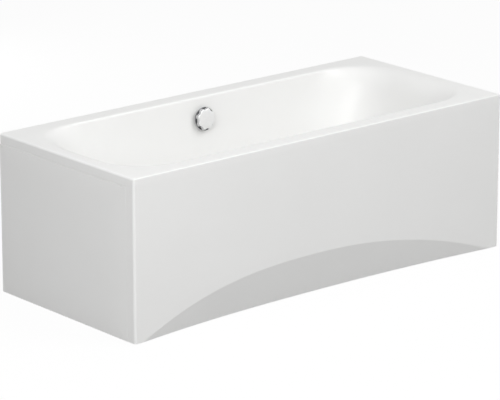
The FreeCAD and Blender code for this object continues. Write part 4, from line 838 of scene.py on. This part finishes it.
def background_rays(tree):
    """1 for rays that should meet a white background: from the camera, off a gloss, or through glass."""
    path = tree.nodes.new("ShaderNodeLightPath")
    seen = path.outputs["Is Camera Ray"]
    for ray in ("Is Glossy Ray", "Is Transmission Ray"):
        either = tree.nodes.new("ShaderNodeMath")
        either.operation = "MAXIMUM"
        tree.links.new(seen, either.inputs[0])
        tree.links.new(path.outputs[ray], either.inputs[1])
        seen = either.outputs[0]
    return seen


def mixed(tree, share, first, second):
    """Mix of two shaders by a number or by a node's output."""
    mix = tree.nodes.new("ShaderNodeMixShader")
    if isinstance(share, float):
        mix.inputs["Fac"].default_value = share
    else:
        tree.links.new(share, mix.inputs["Fac"])
    tree.links.new(first.outputs[0], mix.inputs[1])
    tree.links.new(second.outputs[0], mix.inputs[2])
    return mix


floor_sides = (-FLOOR_REACH, FLOOR_REACH)
ground = skin("studio_floor", np.array([[[x, y, 0.0] for x in floor_sides] for y in floor_sides]))
paint = bpy.data.materials.new("studio_floor")
paint.use_nodes = True
ground.data.materials.append(paint)
tree = paint.node_tree
pale = tree.nodes["Principled BSDF"]
pale.inputs["Base Color"].default_value = (FLOOR_GREY, FLOOR_GREY, FLOOR_GREY, 1)
pale.inputs["Roughness"].default_value = 0.9
shaded = tree.nodes.new("ShaderNodeBsdfDiffuse")
shaded.inputs["Color"].default_value = (1, 1, 1, 1)
glow = tree.nodes.new("ShaderNodeEmission")
glow.inputs["Strength"].default_value = 1.0
shown = mixed(tree, FLOOR_GLOW, shaded, glow)
whole = mixed(tree, background_rays(tree), pale, shown)
clear = tree.nodes.new("ShaderNodeBsdfTransparent")
whole = mixed(tree, tree.nodes.new("ShaderNodeNewGeometry").outputs["Backfacing"], whole, clear)
tree.links.new(whole.outputs[0], tree.nodes["Material Output"].inputs["Surface"])

world = bpy.data.worlds.new("studio")
bpy.context.scene.world = world
world.use_nodes = True
tree = world.node_tree
dim = tree.nodes["Background"]
dim.inputs["Color"].default_value = (1, 1, 1, 1)
dim.inputs["Strength"].default_value = SURROUND_LIGHT
white = tree.nodes.new("ShaderNodeBackground")
white.inputs["Strength"].default_value = 1.0
whole = mixed(tree, background_rays(tree), dim, white)
tree.links.new(whole.outputs[0], tree.nodes["World Output"].inputs["Surface"])


def lamp(name, place, power, size=LAMP_SIZE):
    """Square soft lamp that faces the tub."""
    data = bpy.data.lights.new(name, "AREA")
    data.size = size
    data.energy = power
    piece = bpy.data.objects.new(name, data)
    bpy.context.scene.collection.objects.link(piece)
    way = LAMP_AIM - np.array(place)
    flat = math.hypot(way[0], way[1])
    piece.location = place
    piece.rotation_euler = (math.atan2(flat, -way[2]), 0, math.atan2(way[1], way[0]) - math.pi / 2)


lamp("right_lamp", (2.2, -3.6, 4.2), 106)
lamp("left_lamp", (-4.2, -2.4, 3.2), 78)
lamp("corner_lamp", (-2.4, -2.6, 2.6), 38)
lamp("top_lamp", (1.0, 0.0, 4.6), 21)
lamp("back_lamp", (0.3, 3.8, 0.55), 30, 1.0)

level = math.cos(ELEVATION)
back = np.array([math.sin(AZIMUTH) * level, -math.cos(AZIMUTH) * level, math.sin(ELEVATION)])
right = np.array([math.cos(AZIMUTH), math.sin(AZIMUTH), 0.0])
above = np.cross(back, right)
lens = bpy.data.cameras.new("view")
lens.sensor_width = 36
lens.lens = LENS
lens.clip_end = 60
eye = bpy.data.objects.new("view", lens)
bpy.context.scene.collection.objects.link(eye)
eye.location = VIEW_RIGHT * right + VIEW_UP * above + VIEW_BACK * back
eye.rotation_euler = (math.pi / 2 - ELEVATION, 0, AZIMUTH)
bpy.context.scene.camera = eye
bpy.context.scene.view_settings.view_transform = "Standard"
